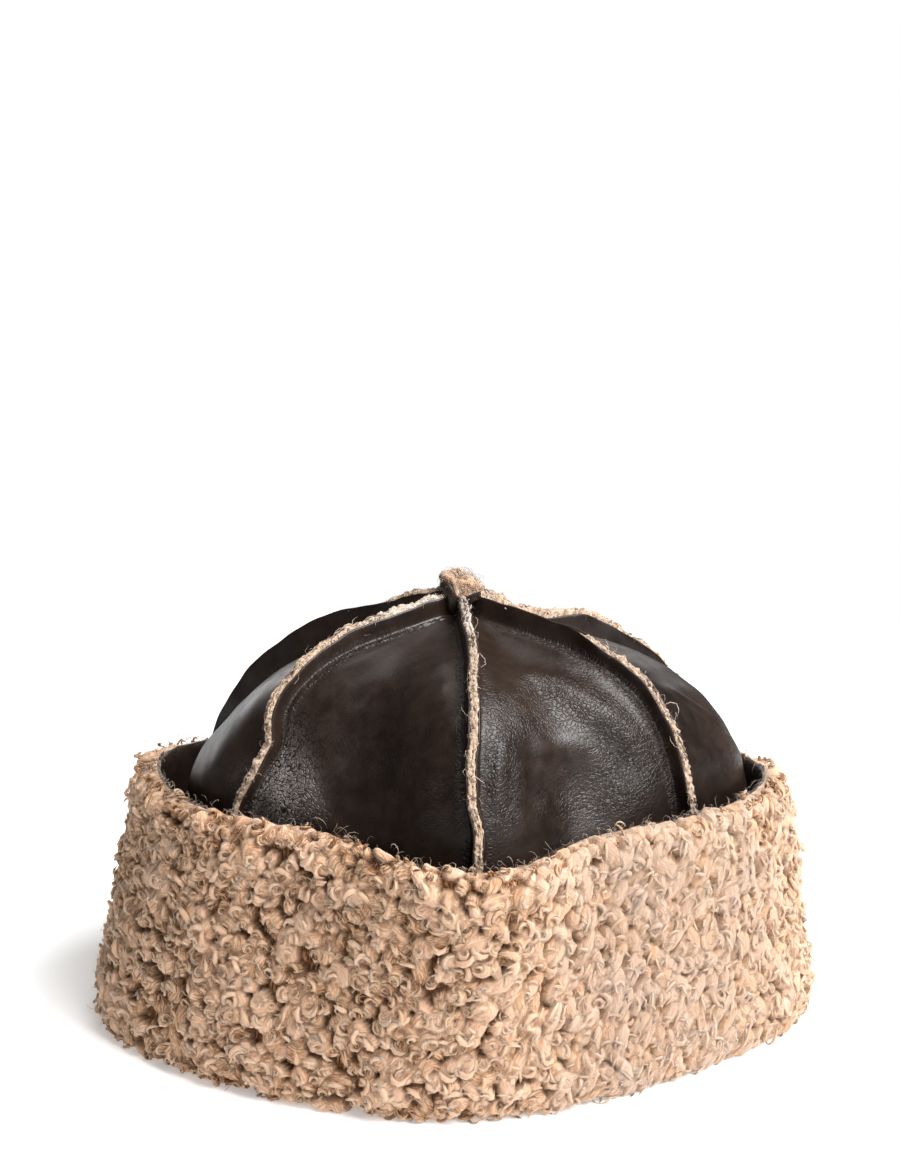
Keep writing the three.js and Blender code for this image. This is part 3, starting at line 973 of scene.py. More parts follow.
def skin_columns(gore, levels, shares, width, squeeze):
    """The columns of a gore's outside between its ribs, and the azimuths of their points."""
    near = squeezed(RIB_FOOT, squeeze)[:, None] / width
    across = mix(near, 1 - near, shares[None, :])
    level = np.broadcast_to(levels[:, None], across.shape)
    skin = crown_point(gore, across, level)
    normal = crown_normal(gore, across, level)
    sides = (across * width, (1 - across) * width)
    distance = np.minimum(*sides)
    at_side = smooth_step(distance, RIB_FOOT, RIB_FOOT + 6)
    push = -crease_depth(skin) * at_side
    for number, (wavelength, depth) in enumerate(UNDULATION):
        push = push + depth * soft_noise(skin, wavelength, 40 + 7 * number) * at_side
    ends = (seams[gore], seams[(gore + 1) % len(seams)])
    gathered = sum(gathered_at(skin, side, seam, gore) for side, seam in zip(sides, ends))
    uneven = 0.6 + 0.55 * soft_noise(skin, PUCKER_LENGTH, 95 + gore)
    push = push * smooth_step(width, 14, 34) + PUCKER_HEIGHT * gathered * uneven
    points = skin + normal * push[..., None]
    columns = [column_of(points[:, n], distance[:, n], 0.0, gathered[:, n]) for n in range(len(shares))]
    return columns, mix(seam_azimuth(gore, level), seam_azimuth(gore + 1, level), across)


def inner_columns(gore, levels, squeeze):
    """The columns of a gore's wool side, back from its right seam to its left one."""
    level, across = np.meshgrid(levels, np.linspace(*INNER_RANGE, INNER_COLUMNS), indexing="ij")
    inner = crown_point(gore, across, level) - WALL * crown_normal(gore, across, level)
    aside = RIB_PROFILE[0][0] * squeeze[0]
    at_right = rib_point(gore + 1, levels, -aside, 0 * levels, LEATHER_UNDERSIDE)
    at_left = rib_point(gore, levels, aside, 0 * levels, LEATHER_UNDERSIDE)
    between = [inner[:, number] for number in reversed(range(INNER_COLUMNS))]
    return [column_of(points) for points in (at_right, *between, at_left)]


print("a fine gore has", len(gore_levels(1)), "rows and", len(gore_shares(1)), "columns of skin")

# %% Build the six gores
GORE_FINENESS = {"front_right": 1, "right": 0.88, "back_right": 0.68, "back_left": 0.68, "left": 0.88,
                 "front_left": 1}


def make_gore(gore, fineness):
    """One gore of the crown with its two ribs."""
    levels = gore_levels(fineness)
    width = gore_width(gore, levels)[:, None]
    squeeze = rib_squeeze(width[:, 0])
    skin, azimuth = skin_columns(gore, levels, gore_shares(fineness), width, squeeze)
    outer = leaf_columns(gore, gore, 1, levels, squeeze) + skin
    outer += reversed(leaf_columns(gore, gore + 1, -1, levels, squeeze))
    inner = inner_columns(gore, levels, squeeze)
    points, distance, cut, gathered = (np.stack(part, 1) for part in zip(*outer, *inner))
    points[..., 2] = np.maximum(points[..., 2], FOLD_HEIGHT)
    rows, size = distance.shape
    parts = (azimuth[:, :1], azimuth, azimuth[:, -1:], azimuth[:, :1])
    counts = (len(RIB_PROFILE), 1, len(RIB_PROFILE), len(inner))
    azimuth = np.concatenate([np.repeat(part, count, 1) for part, count in zip(parts, counts)], 1)
    height = section_value(levels, "height")[:, None]
    side = np.where(np.arange(size) < len(outer) / 2, 1.0, 2.0)
    along = run_length(crown_point(gore, 0, levels))[:, None]
    numbers = {
        "crinkle": (0.04 + patched(patches, azimuth, height)) * (1 - cut) * smooth_step(distance, 2.3, 5),
        "rubbed": cut,
        "gathered": gathered * smooth_step(width, 16, 32),
        # The painted sheen on the wrinkle tops, in its own patches.
        "worn": patched(painted_sheen_patches, azimuth, height) * (1 - cut) * smooth_step(distance, 2.1, 3.2),
    }
    vectors = {"stitch": stacked(along, distance * 0.7, side * 7 + gore)}
    is_inner = np.arange(size) >= len(outer)
    is_inner[-1] = False
    marks = np.append(np.tile(is_inner, rows - 1), [0, 0])
    name = "crown_leather_" + GORES[gore]
    piece = make_object(name, points, tube_faces(rows, size), (leather, wool_bed), numbers, vectors, marks)
    hand_over(piece, "crown_gore_" + GORES[gore])


for gore, side in enumerate(GORES):
    make_gore(gore, GORE_FINENESS[side])

# %% [markdown]
# ### The wool in the seams
#
# Between the two leathers of each rib the cut wool shows as a pale strip, uneven, stringy and full of
# small pits, and the shade in the pits is painted dark into its colour. It could be a flat ribbon with a
# picture on it, but its lumps catch the light, so it is a real ridge of wool whose top rises and falls.

# %% Build the seam wool
STRIP_ROWS = 330
STRIP_HIDDEN_ROWS = 12
STRIP_RANGE = (0.004, 0.998)
STRIP_ACROSS = (-1, -0.96, -0.8, -0.58, -0.35, -0.15, 0, 0.15, 0.35, 0.58, 0.8, 0.96, 1)
STRIP_UNDERSIDE = (1, 0, -1)
STRIP_EDGE = 0.99


def loose_wool(index, levels, points):
    """How much taller than usual the wool stands, with its own unevenness."""
    return loose_at(index, levels) * (0.85 + 0.3 * soft_noise(points, 9, 350 + index))


def strip_top(index, levels, share, across):
    """A column of points along the top of the wool, at a share of its half width."""
    on_top = float(abs(share) < STRIP_EDGE)
    rounded = math.sqrt(1 - share * share)
    base = rib_point(index, levels, across, np.full(len(levels), 0.93 if on_top else 0.45))
    lumps = 0.36 * soft_noise(base, 3.4, 300 + index) + 0.26 * soft_noise(base, 1.4, 320 + index)
    furrow = 0.5 * bell(share, 0.2) * (0.6 + 0.6 * soft_noise(base, 6, 340 + index))
    loose = loose_wool(index, levels, base) * math.sqrt(rounded)
    out = on_top * (0.15 + 0.6 * rounded) + on_top * (lumps - furrow) + loose
    shift = on_top * 0.2 * soft_noise(base, 2.1, 360 + index)
    _, normal, right = seam_frame(index, levels)
    return base + normal * out[:, None] + right * shift[:, None]


def make_strip(index):
    """The ridge of wool in one seam."""
    seen = np.linspace(STRIP_RANGE[0], VISIBLE_LEVEL, STRIP_ROWS)
    levels = np.append(seen, np.linspace(VISIBLE_LEVEL, STRIP_RANGE[1], STRIP_HIDDEN_ROWS)[1:])
    half_width = RIB_WOOL * rib_squeeze(gore_width(index, levels))[0]
    columns = [strip_top(index, levels, share, share * half_width) for share in STRIP_ACROSS]
    columns += [rib_point(index, levels, share * half_width, 0 * levels, -0.5) for share in STRIP_UNDERSIDE]
    points = np.stack(columns, 1)
    points[..., 2] = np.maximum(points[..., 2], FOLD_HEIGHT)
    rows, size = points.shape[:2]
    shares = np.array(STRIP_ACROSS + STRIP_UNDERSIDE, float)
    below = np.arange(size) >= len(STRIP_ACROSS)
    along = run_length(crown_point(index, 0, levels))[:, None]
    bleached = seams[index]["bleach"] * (1 - smooth_step(section_value(levels, "full"), 0.25, 0.62))
    numbers = {
        "middle": np.tile(np.where(below, 0, bell(shares, 0.45)), (rows, 1)),
        "bleached": np.repeat(bleached[:, None], size, 1),
    }
    vectors = {"strand": stacked(2.2 * shares, index * 3.1 + below, along * 0.55)}
    name = "seam_wool_" + seams[index]["name"]
    hand_over(make_object(name, points, tube_faces(rows, size), (seam_wool,), numbers, vectors))


for index in range(len(seams)):
    make_strip(index)

# %% [markdown]
# ## The turned-up cuff
#
# The cuff is the same skin, folded back up, so its leather faces the crown and its wool faces out. The
# wool is one dense pile, and its curls lie pressed against each other. Separate locks alone would leave
# dark holes, and a smooth pile with a bump would look like carpet. So the pile itself is modelled as
# thousands of small overlapping domes, one for each curl, and then loose tresses and hairs are planted on
# those curls.

# %% The section of the cuff
# From the leather at the rim over the wool side, under the fold and back up the leather. out is measured
# from the cuff's leather face, or from the crown's foot where side says so, up is a share of the cuff's
# height, and lift is in millimetres. pile tells where the wool grows, and steps how many points lead to
# the next row.
cuff_section = table_rows("side up lift out pile steps", (
    ("cuff", 0.985, 0.0, 0.2, 0, 2),
    ("cuff", 1.0, -0.9, 1.6, 1, 3),
    ("cuff", 1.0, -1.6, 4.0, 1, 6),
    ("cuff", 0.95, 0.0, 6.6, 1, 11),
    ("cuff", 0.84, 0.0, 7.4, 1, 18),
    ("cuff", 0.66, 0.0, 7.6, 1, 20),
    ("cuff", 0.46, 0.0, 7.8, 1, 20),
    ("cuff", 0.26, 0.0, 8.4, 1, 14),
    ("cuff", 0.12, 0.0, 8.4, 1, 10),
    ("cuff", 0.035, 0.0, 6.4, 1, 6),
    ("cuff", 0.0, 2.4, 2.0, 1, 5),
    ("crown", 0.0, 2.4, -5.0, 1, 3),
    ("crown", 0.0, 3.4, -9.5, 1, 2),
    ("crown", 0.0, 5.2, -8.0, 1, 2),
    ("crown", 0.0, 6.0, -2.0, 0, 1),
    ("cuff", 0.0, 6.0, -0.6, 0, 2),
    ("cuff", 0.10, 0.0, 0.0, 0, 2),
    ("cuff", 0.30, 0.0, 0.0, 0, 2),
    ("cuff", 0.55, 0.0, 0.0, 0, 2),
    ("cuff", 0.80, 0.0, 0.0, 0, 1),
    ("cuff", 0.93, 0.0, 0.0, 0, 1),
))
RING_STEPS = 720


def cuff_face(azimuth, height):
    """The radius of the cuff's leather face at an azimuth and a height."""
    share = height / plan_value(azimuth, "rim_height")
    return mix(plan_value(azimuth, "cuff_foot"), plan_value(azimuth, "cuff_rim"), share)


def polar(azimuth, radius, height):
    """Points at an azimuth, a radius and a height."""
    angle = np.radians(azimuth)
    return stacked(radius * np.sin(angle), -radius * np.cos(angle), height)


def cuff_loops(azimuth):
    """The points of the cuff's section at each azimuth, one column for each step of the section."""
    corners = []
    for row in cuff_section:
        height = row["up"] * plan_value(azimuth, "rim_height") + row["lift"]
        face = cuff_face(azimuth, height) if row["side"] == "cuff" else plan_value(azimuth, "foot")
        corners.append(polar(azimuth, face + row["out"], height))
    corners = np.stack(corners, 1)
    count = corners.shape[1]
    columns = []
    for number, row in enumerate(cuff_section):
        around = [corners[:, (number + step) % count] for step in (-1, 0, 1, 2)]
        for step in range(row["steps"]):
            columns.append(smooth_between(*around, step / row["steps"]))
    return np.stack(columns, 1)


WISPY_MIDDLE = 48
WISPY_REACH = 34
WISPY_LEAST = 0.08
WISPY_MORE = 0.72


def wispy_at(azimuth):
    """How often a curl is a long wisp. On the right of the front the wool hangs nearly straight."""
    return WISPY_LEAST + WISPY_MORE * bell(turn_from(WISPY_MIDDLE, azimuth), WISPY_REACH)


class Pile:
    """The skin of the cuff as a grid, with the lengths around and down it in millimetres."""

    def __init__(self):
        self.azimuth = np.arange(RING_STEPS) * RIGHT_ROUND / RING_STEPS
        self.points = cuff_loops(self.azimuth)
        grows, steps = zip(*((row["pile"], row["steps"]) for row in cuff_section))
        self.is_pile = np.repeat(grows, steps) == 1
        around = np.roll(self.points, -1, 0) - np.roll(self.points, 1, 0)
        down = np.roll(self.points, -1, 1) - np.roll(self.points, 1, 1)
        self.normal = unit(np.cross(down, around))
        middle = self.points[:, np.flatnonzero(self.is_pile).mean().astype(int)]
        steps = np.linalg.norm(np.roll(middle, -1, 0) - middle, axis=-1)
        self.around = np.append(0, np.cumsum(steps)[:-1])
        self.lap = steps.sum()
        steps = np.linalg.norm(np.diff(self.points, axis=1), axis=-1).mean(0)
        self.down = np.append(0, np.cumsum(steps))
        self.top, self.bottom = self.down[self.is_pile][[0, -1]]

    def at(self, grid, around, down):
        """The values of a grid at lengths around and down."""
        row = np.searchsorted(self.around, np.mod(around, self.lap), side="right") - 1
        column = np.clip(np.searchsorted(self.down, down), 0, len(self.down) - 1)
        return grid[row, column]


pile = Pile()
print("the pile is", round(pile.lap), "mm round, as a grid of", pile.points.shape[:2], "points")

# %% Lay out the curls
CURL_AROUND = 5.3
CURL_DOWN = 4.7
CURL_JITTER = 1.5
CURL_RADIUS = (2.5, 4.7)
CURL_HEIGHT = (1.8, 3.3)
CURL_STRETCH = (1.0, 1.45)
BARE_SHARE = 0.05
COMBED_SHARE = 0.55
CURL_SEED = 7


def lay_curls():
    """The middle of each curl on a shaken lattice, with its radius, height, turn and tint."""
    chance = np.random.default_rng(CURL_SEED)
    rows = np.arange(pile.top + 1.0, pile.bottom, CURL_DOWN)
    columns = np.arange(0, pile.lap, CURL_AROUND)
    down, around = (grid.ravel() for grid in np.meshgrid(rows, columns, indexing="ij"))
    around = around + np.repeat(np.arange(len(rows)) % 2, len(columns)) * CURL_AROUND / 2
    count = len(around)
    around = around + chance.uniform(-CURL_JITTER, CURL_JITTER, count)
    down = down + chance.uniform(-CURL_JITTER, CURL_JITTER, count)
    laps = (np.append(pile.around, pile.lap), np.append(pile.azimuth, RIGHT_ROUND))
    azimuth = np.interp(np.mod(around, pile.lap), *laps)
    airy = wispy_at(azimuth)
    wispy = chance.uniform(0, 1, count) < airy
    place = pile.at(pile.points, around, down)
    free_turn = 3.0 * soft_noise(place, 42, 610) + chance.uniform(-1.0, 1.0, count)
    hanging = math.pi / 2 + chance.uniform(-0.85, 0.85, count)
    radius = chance.uniform(*CURL_RADIUS, count)
    height = chance.uniform(*CURL_HEIGHT, count) * (1 - 0.66 * airy)
    base = chance.uniform(-0.7, 0.6, count) + 0.6 * soft_noise(place, 23, 611)
    curls = {
        "around": around,
        "down": down,
        "azimuth": azimuth,
        "wispy": wispy.astype(float),
        "airy": airy,
        "radius": radius,
        "height": height,
        "base": base * (1 - 0.4 * airy) + 0.5 * airy,
        "turn": np.where(wispy, hanging, free_turn),
        "tint": chance.uniform(0, 1, count),
        "dimple": chance.uniform(0.15, 0.55, count),
        "dip": chance.uniform(0.15, 0.85, count),
        "stretch": chance.uniform(*CURL_STRETCH, count),
        "combed": (chance.uniform(0, 1, count) < COMBED_SHARE).astype(float),
    }
    is_bare = chance.uniform(0, 1, count) < BARE_SHARE * (1 - airy)
    return [dict(zip(curls, row)) for row, bare in zip(zip(*curls.values()), is_bare) if not bare]


curls = lay_curls()
print(len(curls), "curls")

# %% Press the curls into the pile
DIMPLE_REACH = 0.34
WISP_LENGTH = 1.55
WISP_WIDTH = 0.72
VALLEY = -1.0
STRAND_APART = 3.1


def curl_form(curl, across, below):
    """Where points lie in a curl, from 0 in its middle to 1 at its edge, its height and its hair's way."""
    turned = (math.cos(curl["turn"]), math.sin(curl["turn"]))
    along = across * turned[0] + below * turned[1]
    beside = -across * turned[1] + below * turned[0]
    radius = curl["radius"]
    if curl["wispy"]:
        share = (along / (radius * WISP_LENGTH)) ** 2 + (beside / (radius * WISP_WIDTH)) ** 2
        dome = curl["height"] * np.sqrt(np.clip(1 - share, 0, 1))
        return share, dome, beside + 0.6 * np.sin(along * 0.5), along
    share = (along**2 + (beside * curl["stretch"]) ** 2) / radius**2
    middle = radius * curl["dimple"]
    from_dimple = np.hypot(along + middle, beside)
    dip = curl["dip"] * bell(from_dimple, radius * DIMPLE_REACH)
    dome = curl["height"] * np.sqrt(np.clip(1 - share, 0, 1)) * (1 - dip)
    if curl["combed"]:
        return share, dome, beside + 0.2 * along**2 / radius, along
    return share, dome, from_dimple, np.arctan2(beside, along + middle) * radius * 0.6


def press_curls():
    """The height of the pile at each grid point, and the attributes that the highest curl gives it."""
    shape = pile.points.shape[:2]
    height = np.full(shape, VALLEY)
    strand = 0.8 * pile.points
    tint = np.full(shape, 0.5)
    for number, curl in enumerate(curls):
        reach = curl["radius"] * (WISP_LENGTH if curl["wispy"] else 1.0)
        aside = np.mod(pile.around - curl["around"] + pile.lap / 2, pile.lap) - pile.lap / 2
        rows = np.flatnonzero(abs(aside) < reach)
        columns = np.flatnonzero((abs(pile.down - curl["down"]) < reach) & pile.is_pile)
        below = (pile.down[columns] - curl["down"])[None, :]
        share, dome, hair_across, hair_along = curl_form(curl, aside[rows][:, None], below)
        window = np.ix_(rows, columns)
        level = curl["base"] + dome
        wins = (share < 1) & (level > height[window])
        own = stacked(hair_across, number * STRAND_APART, hair_along)
        height[window] = np.where(wins, level, height[window])
        tint[window] = np.where(wins, curl["tint"], tint[window])
        strand[window] = np.where(wins[..., None], own, strand[window])
    return height, strand, tint


pile_height, pile_strand, pile_tint = press_curls()
print("the pile rises", np.round(pile_height.min(), 1), "to", np.round(pile_height.max(), 1), "mm")

# %% Build the skin of the cuff
FLOOR_GAP = 0.15
PILE_RISE = 3.8
RIM_GROWTH = (-3.0, 8.5)
RIM_UNEVEN = 3.4


def make_cuff_skin():
    """The folded skin with leather on one face and the curled pile on the other."""
    points = pile.points
    size = points.shape[1]
    tangled = 0.30 * soft_noise(points, 2.8, 500) + 0.14 * soft_noise(points, 1.7, 501)
    leather_waves = 0.35 * soft_noise(points, 30, 502)
    from_rim = (pile.down - pile.top)[None, :] + RIM_UNEVEN * soft_noise(points, 11, 504)
    edge = np.where(pile.is_pile, 1.0, 0.0)[None, :]
    grown = (pile_height + tangled) * smooth_step(from_rim, *RIM_GROWTH) * edge
    points = points + pile.normal * (grown + leather_waves * (1 - edge))[..., None]
    points[..., 2] = np.maximum(points[..., 2], FLOOR_GAP)
    quads = grid_quads(RING_STEPS, size, ring_rows=True, ring_columns=True)
    marks = pile.is_pile[quads[:, 0] % size].astype(int)
    rim = plan_value(pile.azimuth, "rim_height")[:, None]
    numbers = {
        "crinkle": 0.25 + 0.35 * np.clip(soft_noise(points, 25, 503), 0, 1),
        "rubbed": bell(points[..., 2] - rim, 1.5) * 0.6,
        "gathered": np.zeros(points.shape[:2]),
        "worn": np.zeros(points.shape[:2]),
        # outward paints shade into the valleys between the curls.
        "outward": np.clip((pile_height - VALLEY) / PILE_RISE, 0, 1),
        "tint": pile_tint,
        "airy": np.broadcast_to(wispy_at(pile.azimuth)[:, None], points.shape[:2]),
    }
    vectors = {"strand": pile_strand}
    piece = make_object("cuff_skin", points, list(quads[:, ::-1]), (leather, wool), numbers, vectors, marks)
    hand_over(piece, "cuff")


make_cuff_skin()

# %% [markdown]
# ### Tresses and hairs
#
# On every curl lie loose tresses, small bundles of hair that follow its bend and lift off it at their
# tips, and between them single hairs stand out and catch the light. Both are the same bent tube, thick or
# thin. Geometry Nodes copy each curl's point a few times and put a tress or a hair on each copy.

# %% Model the tresses
# reach is the radius of the bend and sweep how far it turns, lean is how much the bend stands up, climb
# how far the tress winds to each side, thick its greatest radius, fullest where along it that is, and
# sink how much lower its ends are than its middle. All are made for a curl with a radius of 3.6 mm.
TRESS_COLUMNS = "reach sweep lean climb thick fullest sink"
CRESCENTS = table_rows(TRESS_COLUMNS, (
    (2.3, 215, 6, 0.5, 0.85, 0.50, 1.5),
    (2.6, 190, 14, 0.4, 0.95, 0.45, 1.6),
    (1.8, 260, 8, 0.8, 0.75, 0.45, 1.3),
    (2.9, 165, 22, 0.3, 1.00, 0.50, 1.7),
    (2.1, 235, 30, 0.6, 0.80, 0.55, 1.2),
    (1.4, 330, 10, 1.0, 0.65, 0.40, 1.0),
))
WISPS = table_rows(TRESS_COLUMNS, (
    (7.5, 66, 10, 0.5, 0.55, 0.40, 1.4),
    (5.6, 90, 20, 0.5, 0.50, 0.40, 1.4),
    (9.0, 55, 30, 0.4, 0.60, 0.35, 1.2),
    (3.8, 130, 12, 0.6, 0.50, 0.45, 1.3),
))
HAIRS = table_rows(TRESS_COLUMNS, (
    (2.6, 200, 60, 1.2, 0.11, 0.50, 0.6),
    (1.7, 300, 40, 1.8, 0.10, 0.50, 0.4),
    (4.2, 110, 80, 0.8, 0.11, 0.50, 0.8),
    (1.5, 380, 75, 2.2, 0.10, 0.50, 0.3),
))
TRESS_GRID = (5, 7)
HAIR_GRID = (3, 6)
THIN_END = 0.14
TRESS_FLATNESS = 0.85


def tress_mesh(name, grid, reach, sweep, lean, climb, thick, fullest, sink):
    """A bent tress with thin ends that sink, with its own hair directions as attributes."""
    sides, stations = grid
    share = np.linspace(0, 1, stations)
    angle = np.radians(sweep * (share - 0.5))
    tilt = math.radians(lean)
    flat = np.array([1.0, 0, 0])
    upward = np.array([0, math.cos(tilt), math.sin(tilt)])
    axis = np.cross(flat, upward)
    path = reach * (np.outer(np.cos(angle), flat) + np.outer(np.sin(angle), upward))
    path = path + np.outer(climb * (share - 0.5) * 2, axis)
    path[:, 2] -= (1 - np.sin(math.pi * share)) * sink
    if reach > CURL_RADIUS[1]:
        path[:, 0] -= reach
    ahead = unit(np.gradient(path, axis=0))
    side = unit(np.cross(axis, ahead))
    over = np.cross(ahead, side)
    bulge = np.sin(math.pi * share ** (math.log(0.5) / math.log(fullest))).clip(0, 1) ** 0.6
    radius = thick * mix(THIN_END, 1, bulge)
    turn = np.arange(sides) * 2 * math.pi / sides
    cosine = np.cos(turn)[None, :]
    sine = np.sin(turn)[None, :]
    ring = cosine[..., None] * side[:, None] + TRESS_FLATNESS * sine[..., None] * over[:, None]
    points = (path[:, None] + ring * radius[:, None, None]).reshape(-1, 3)
    ends = np.array([path[0] - ahead[0] * radius[0], path[-1] + ahead[-1] * radius[-1]])
    first = len(points)
    last_ring = first - sides
    faces = list(grid_quads(stations, sides, ring_columns=True)[:, ::-1])
    for number in range(sides):
        after = (number + 1) % sides
        faces.append(np.array([after, number, first]))
        faces.append(np.array([last_ring + number, last_ring + after, first + 1]))
    length = share * math.radians(sweep) * reach
    strand = stacked(cosine * thick, sine * thick, length[:, None]).reshape(-1, 3)
    strand = np.vstack([strand, [[0, 0, 0], [0, 0, length[-1]]]])
    return make_object(name, np.vstack([points, ends]), faces, (wool,), None, {"strand": strand}, origin=0)


def tress_collection(name, grid, rows):
    """A collection of tresses, one for each row of a table."""
    group = bpy.data.collections.new(name)
    for number, row in enumerate(rows):
        piece = tress_mesh(f"{name}_{number}", grid, **row)
        bpy.context.collection.objects.unlink(piece)
        group.objects.link(piece)
    return group


crescents = tress_collection("crescents", TRESS_GRID, CRESCENTS)
wisps = tress_collection("wisps", TRESS_GRID, WISPS)
hairs = tress_collection("hairs", HAIR_GRID, HAIRS)

# %% [markdown]
# ### A planting tree
#
# The tree takes bare points, the roots. It copies each one, shakes the copies a little, turns a tress or
# a hair upright on each, and gives every one its own size and tint. Its named inputs say how strongly it
# does so, and the numbers that a root carries say which kind of tress it takes and how large that is.


# %% A planting tree in Geometry Nodes
class Planter(Bench):
    """A Geometry Nodes tree that plants wool on roots, with named inputs."""

    def __init__(self, name, inputs):
        super().__init__(bpy.data.node_groups.new(name, "GeometryNodeTree"))
        interface = self.tree.interface
        interface.new_socket("Roots", in_out="INPUT", socket_type="NodeSocketGeometry")
        interface.new_socket("Wool", in_out="OUTPUT", socket_type="NodeSocketGeometry")
        for label, (kind, value) in inputs.items():
            interface.new_socket(label, in_out="INPUT", socket_type=kind).default_value = value
        start = self.node("NodeGroupInput")
        self.given = {socket.name: Wire(self, socket) for socket in start.outputs}

    def random(self, kind, low, high, seed):
        """A random value for each tress."""
        inputs = {"Min": low, "Max": high, "Seed": self.given["Seed"] + seed}
        return self.wire("FunctionNodeRandomValue", {"data_type": kind}, inputs)

    def shaken(self, label, seed):
        """A random number from minus to plus the value of a named input."""
        return self.random("FLOAT", -1.0, 1.0, seed) * self.given[label]

    def read(self, label, kind="FLOAT"):
        """An attribute of the roots."""
        return self.wire("GeometryNodeInputNamedAttribute", {"data_type": kind}, {"Name": label})

    def finish(self, geometry, material):
        """Turns the instances into a mesh, gives it its material and ends the tree."""
        real = self.wire("GeometryNodeRealizeInstances", {}, {"Geometry": geometry})
        painted = self.wire("GeometryNodeSetMaterial", {}, {"Geometry": real, "Material": material})
        self.node("NodeGroupOutput", {}, {"Wool": painted})
        return self.tree


PLANTING_INPUTS = {
    "Copies": ("NodeSocketInt", 2),
    "Size": ("NodeSocketFloat", 1.0),
    "Tilt": ("NodeSocketFloat", 0.25),
    "Turn": ("NodeSocketFloat", 0.4),
    "Lift": ("NodeSocketFloat", 0.0006),
    "Seed": ("NodeSocketInt", 1),
}


def wool_tree(name, groups):
    """Puts tresses of some kinds on the roots, where the root's number wispy says which kind it takes."""
    plant = Planter(name, PLANTING_INPUTS)
    given = plant.given
    roots = plant.wire("GeometryNodeMeshToPoints", {}, {"Mesh": given["Roots"]})
    inputs = {"Geometry": roots, "Amount": given["Copies"]}
    copies = plant.wire("GeometryNodeDuplicateElements", {"domain": "POINT"}, inputs)
    away = plant.read("away", "FLOAT_VECTOR")
    offset = plant.vector_math("SCALE", away, Scale=plant.shaken("Lift", 21))
    lifted = plant.wire("GeometryNodeSetPosition", {}, {"Geometry": copies, "Offset": offset})
    tint = plant.read("tint") * 0.5 + plant.random("FLOAT", 0.0, 0.5, 22)
    settings = {"data_type": "FLOAT", "domain": "POINT"}
    inputs = {"Geometry": lifted, "Name": "tint", "Value": tint}
    tinted = plant.wire("GeometryNodeStoreNamedAttribute", settings, inputs)
    settings = {"primary_axis": "Z", "secondary_axis": "Y"}
    inputs = {"Primary Axis": away, "Secondary Axis": (0.0, 0.0, 1.0)}
    upright = plant.wire("FunctionNodeAxesToRotation", settings, inputs)
    turn = plant.read("turn") + plant.shaken("Turn", 23)
    inputs = {"X": plant.shaken("Tilt", 14), "Y": plant.shaken("Tilt", 15), "Z": turn}
    euler = plant.wire("ShaderNodeCombineXYZ", {}, inputs)
    own = plant.wire("FunctionNodeEulerToRotation", {}, {"Euler": euler})
    inputs = {"Rotation": upright, "Rotate By": own}
    rotation = plant.wire("FunctionNodeRotateRotation", {"rotation_space": "LOCAL"}, inputs)
    size = plant.random("FLOAT", 0.7, 1.12, 24) * plant.read("size") * given["Size"]
    planted = []
    for wanted, group in enumerate(groups):
        settings = {"data_type": "FLOAT", "operation": "EQUAL"}
        inputs = {"A": plant.read("wispy"), "B": float(wanted), "Epsilon": 0.1}
        chosen = plant.wire("FunctionNodeCompare", settings, inputs)
        inputs = {"Collection": group, "Separate Children": True, "Reset Children": True}
        inputs = {
            "Points": tinted,
            "Selection": chosen,
            "Instance": plant.wire("GeometryNodeCollectionInfo", {}, inputs),
            "Pick Instance": True,
            "Instance Index": plant.random("INT", 0, len(group.objects) - 1, 17),
            "Rotation": rotation,
            "Scale": size,
        }
        planted.append(plant.wire("GeometryNodeInstanceOnPoints", {}, inputs))
    joined = plant.node("GeometryNodeJoinGeometry")
    for geometry in planted:
        plant.tree.links.new(geometry.socket, joined.inputs[0])
    return plant.finish(Wire(plant, joined.outputs[0]), wool)


plant_tresses = wool_tree("plant_tresses", (crescents, wisps))
plant_hairs = wool_tree("plant_hairs", (hairs, hairs))
print("each planting tree has", len(plant_tresses.nodes), "nodes")

# %% Grow wool on roots
KEPT_ATTRIBUTES = ("position", "strand", "tint", "airy", "outward", "material_index", "sharp_face")
MOST_OUTWARD = 1.2


def make_roots(points, away, turn, wispy, size, tint, airy):
    """Bare points with the attributes that the planting trees read."""
    mesh = bpy.data.meshes.new("roots")
    mesh.vertices.add(len(points))
    mesh.vertices.foreach_set("co", ((points + TO_ROW) * MM).astype(np.float32).ravel())
    numbers = {"turn": turn, "wispy": wispy, "size": size, "tint": tint, "airy": airy}
    add_attributes(mesh, numbers, {"away": away})
    return add_to_scene("roots", mesh)


def grow(name, roots, tree, values, outward, replaced=None):
    """Makes the wool that a tree grows on some roots a new piece. The roots are removed."""
    modifier = roots.modifiers.new("grow", "NODES")
    modifier.node_group = tree
    sockets = {item.name: item.identifier for item in tree.interface.items_tree}
    for label, value in zip(PLANTING_INPUTS, values):
        modifier[sockets[label]] = value
    graph = bpy.context.evaluated_depsgraph_get()
    grown = roots.evaluated_get(graph)
    mesh = bpy.data.meshes.new_from_object(grown, preserve_all_data_layers=True, depsgraph=graph)
    mesh.name = name
    roots.modifiers.remove(modifier)
    bpy.data.objects.remove(roots)
    for label in [layer.name for layer in mesh.attributes if layer.name[0] != "."]:
        if label not in KEPT_ATTRIBUTES:
            mesh.attributes.remove(mesh.attributes[label])
    points = np.empty(len(mesh.vertices) * 3, np.float32)
    mesh.vertices.foreach_get("co", points)
    points = points.reshape(-1, 3)
    add_attributes(mesh, {"outward": np.clip(outward(points / MM - TO_ROW), 0, MOST_OUTWARD)}, {})
    points[:, 2] = np.maximum(points[:, 2], FLOOR_GAP * MM)
    mesh.vertices.foreach_set("co", points.ravel())
    mesh.update()
    hand_over(add_to_scene(name, mesh), replaced)


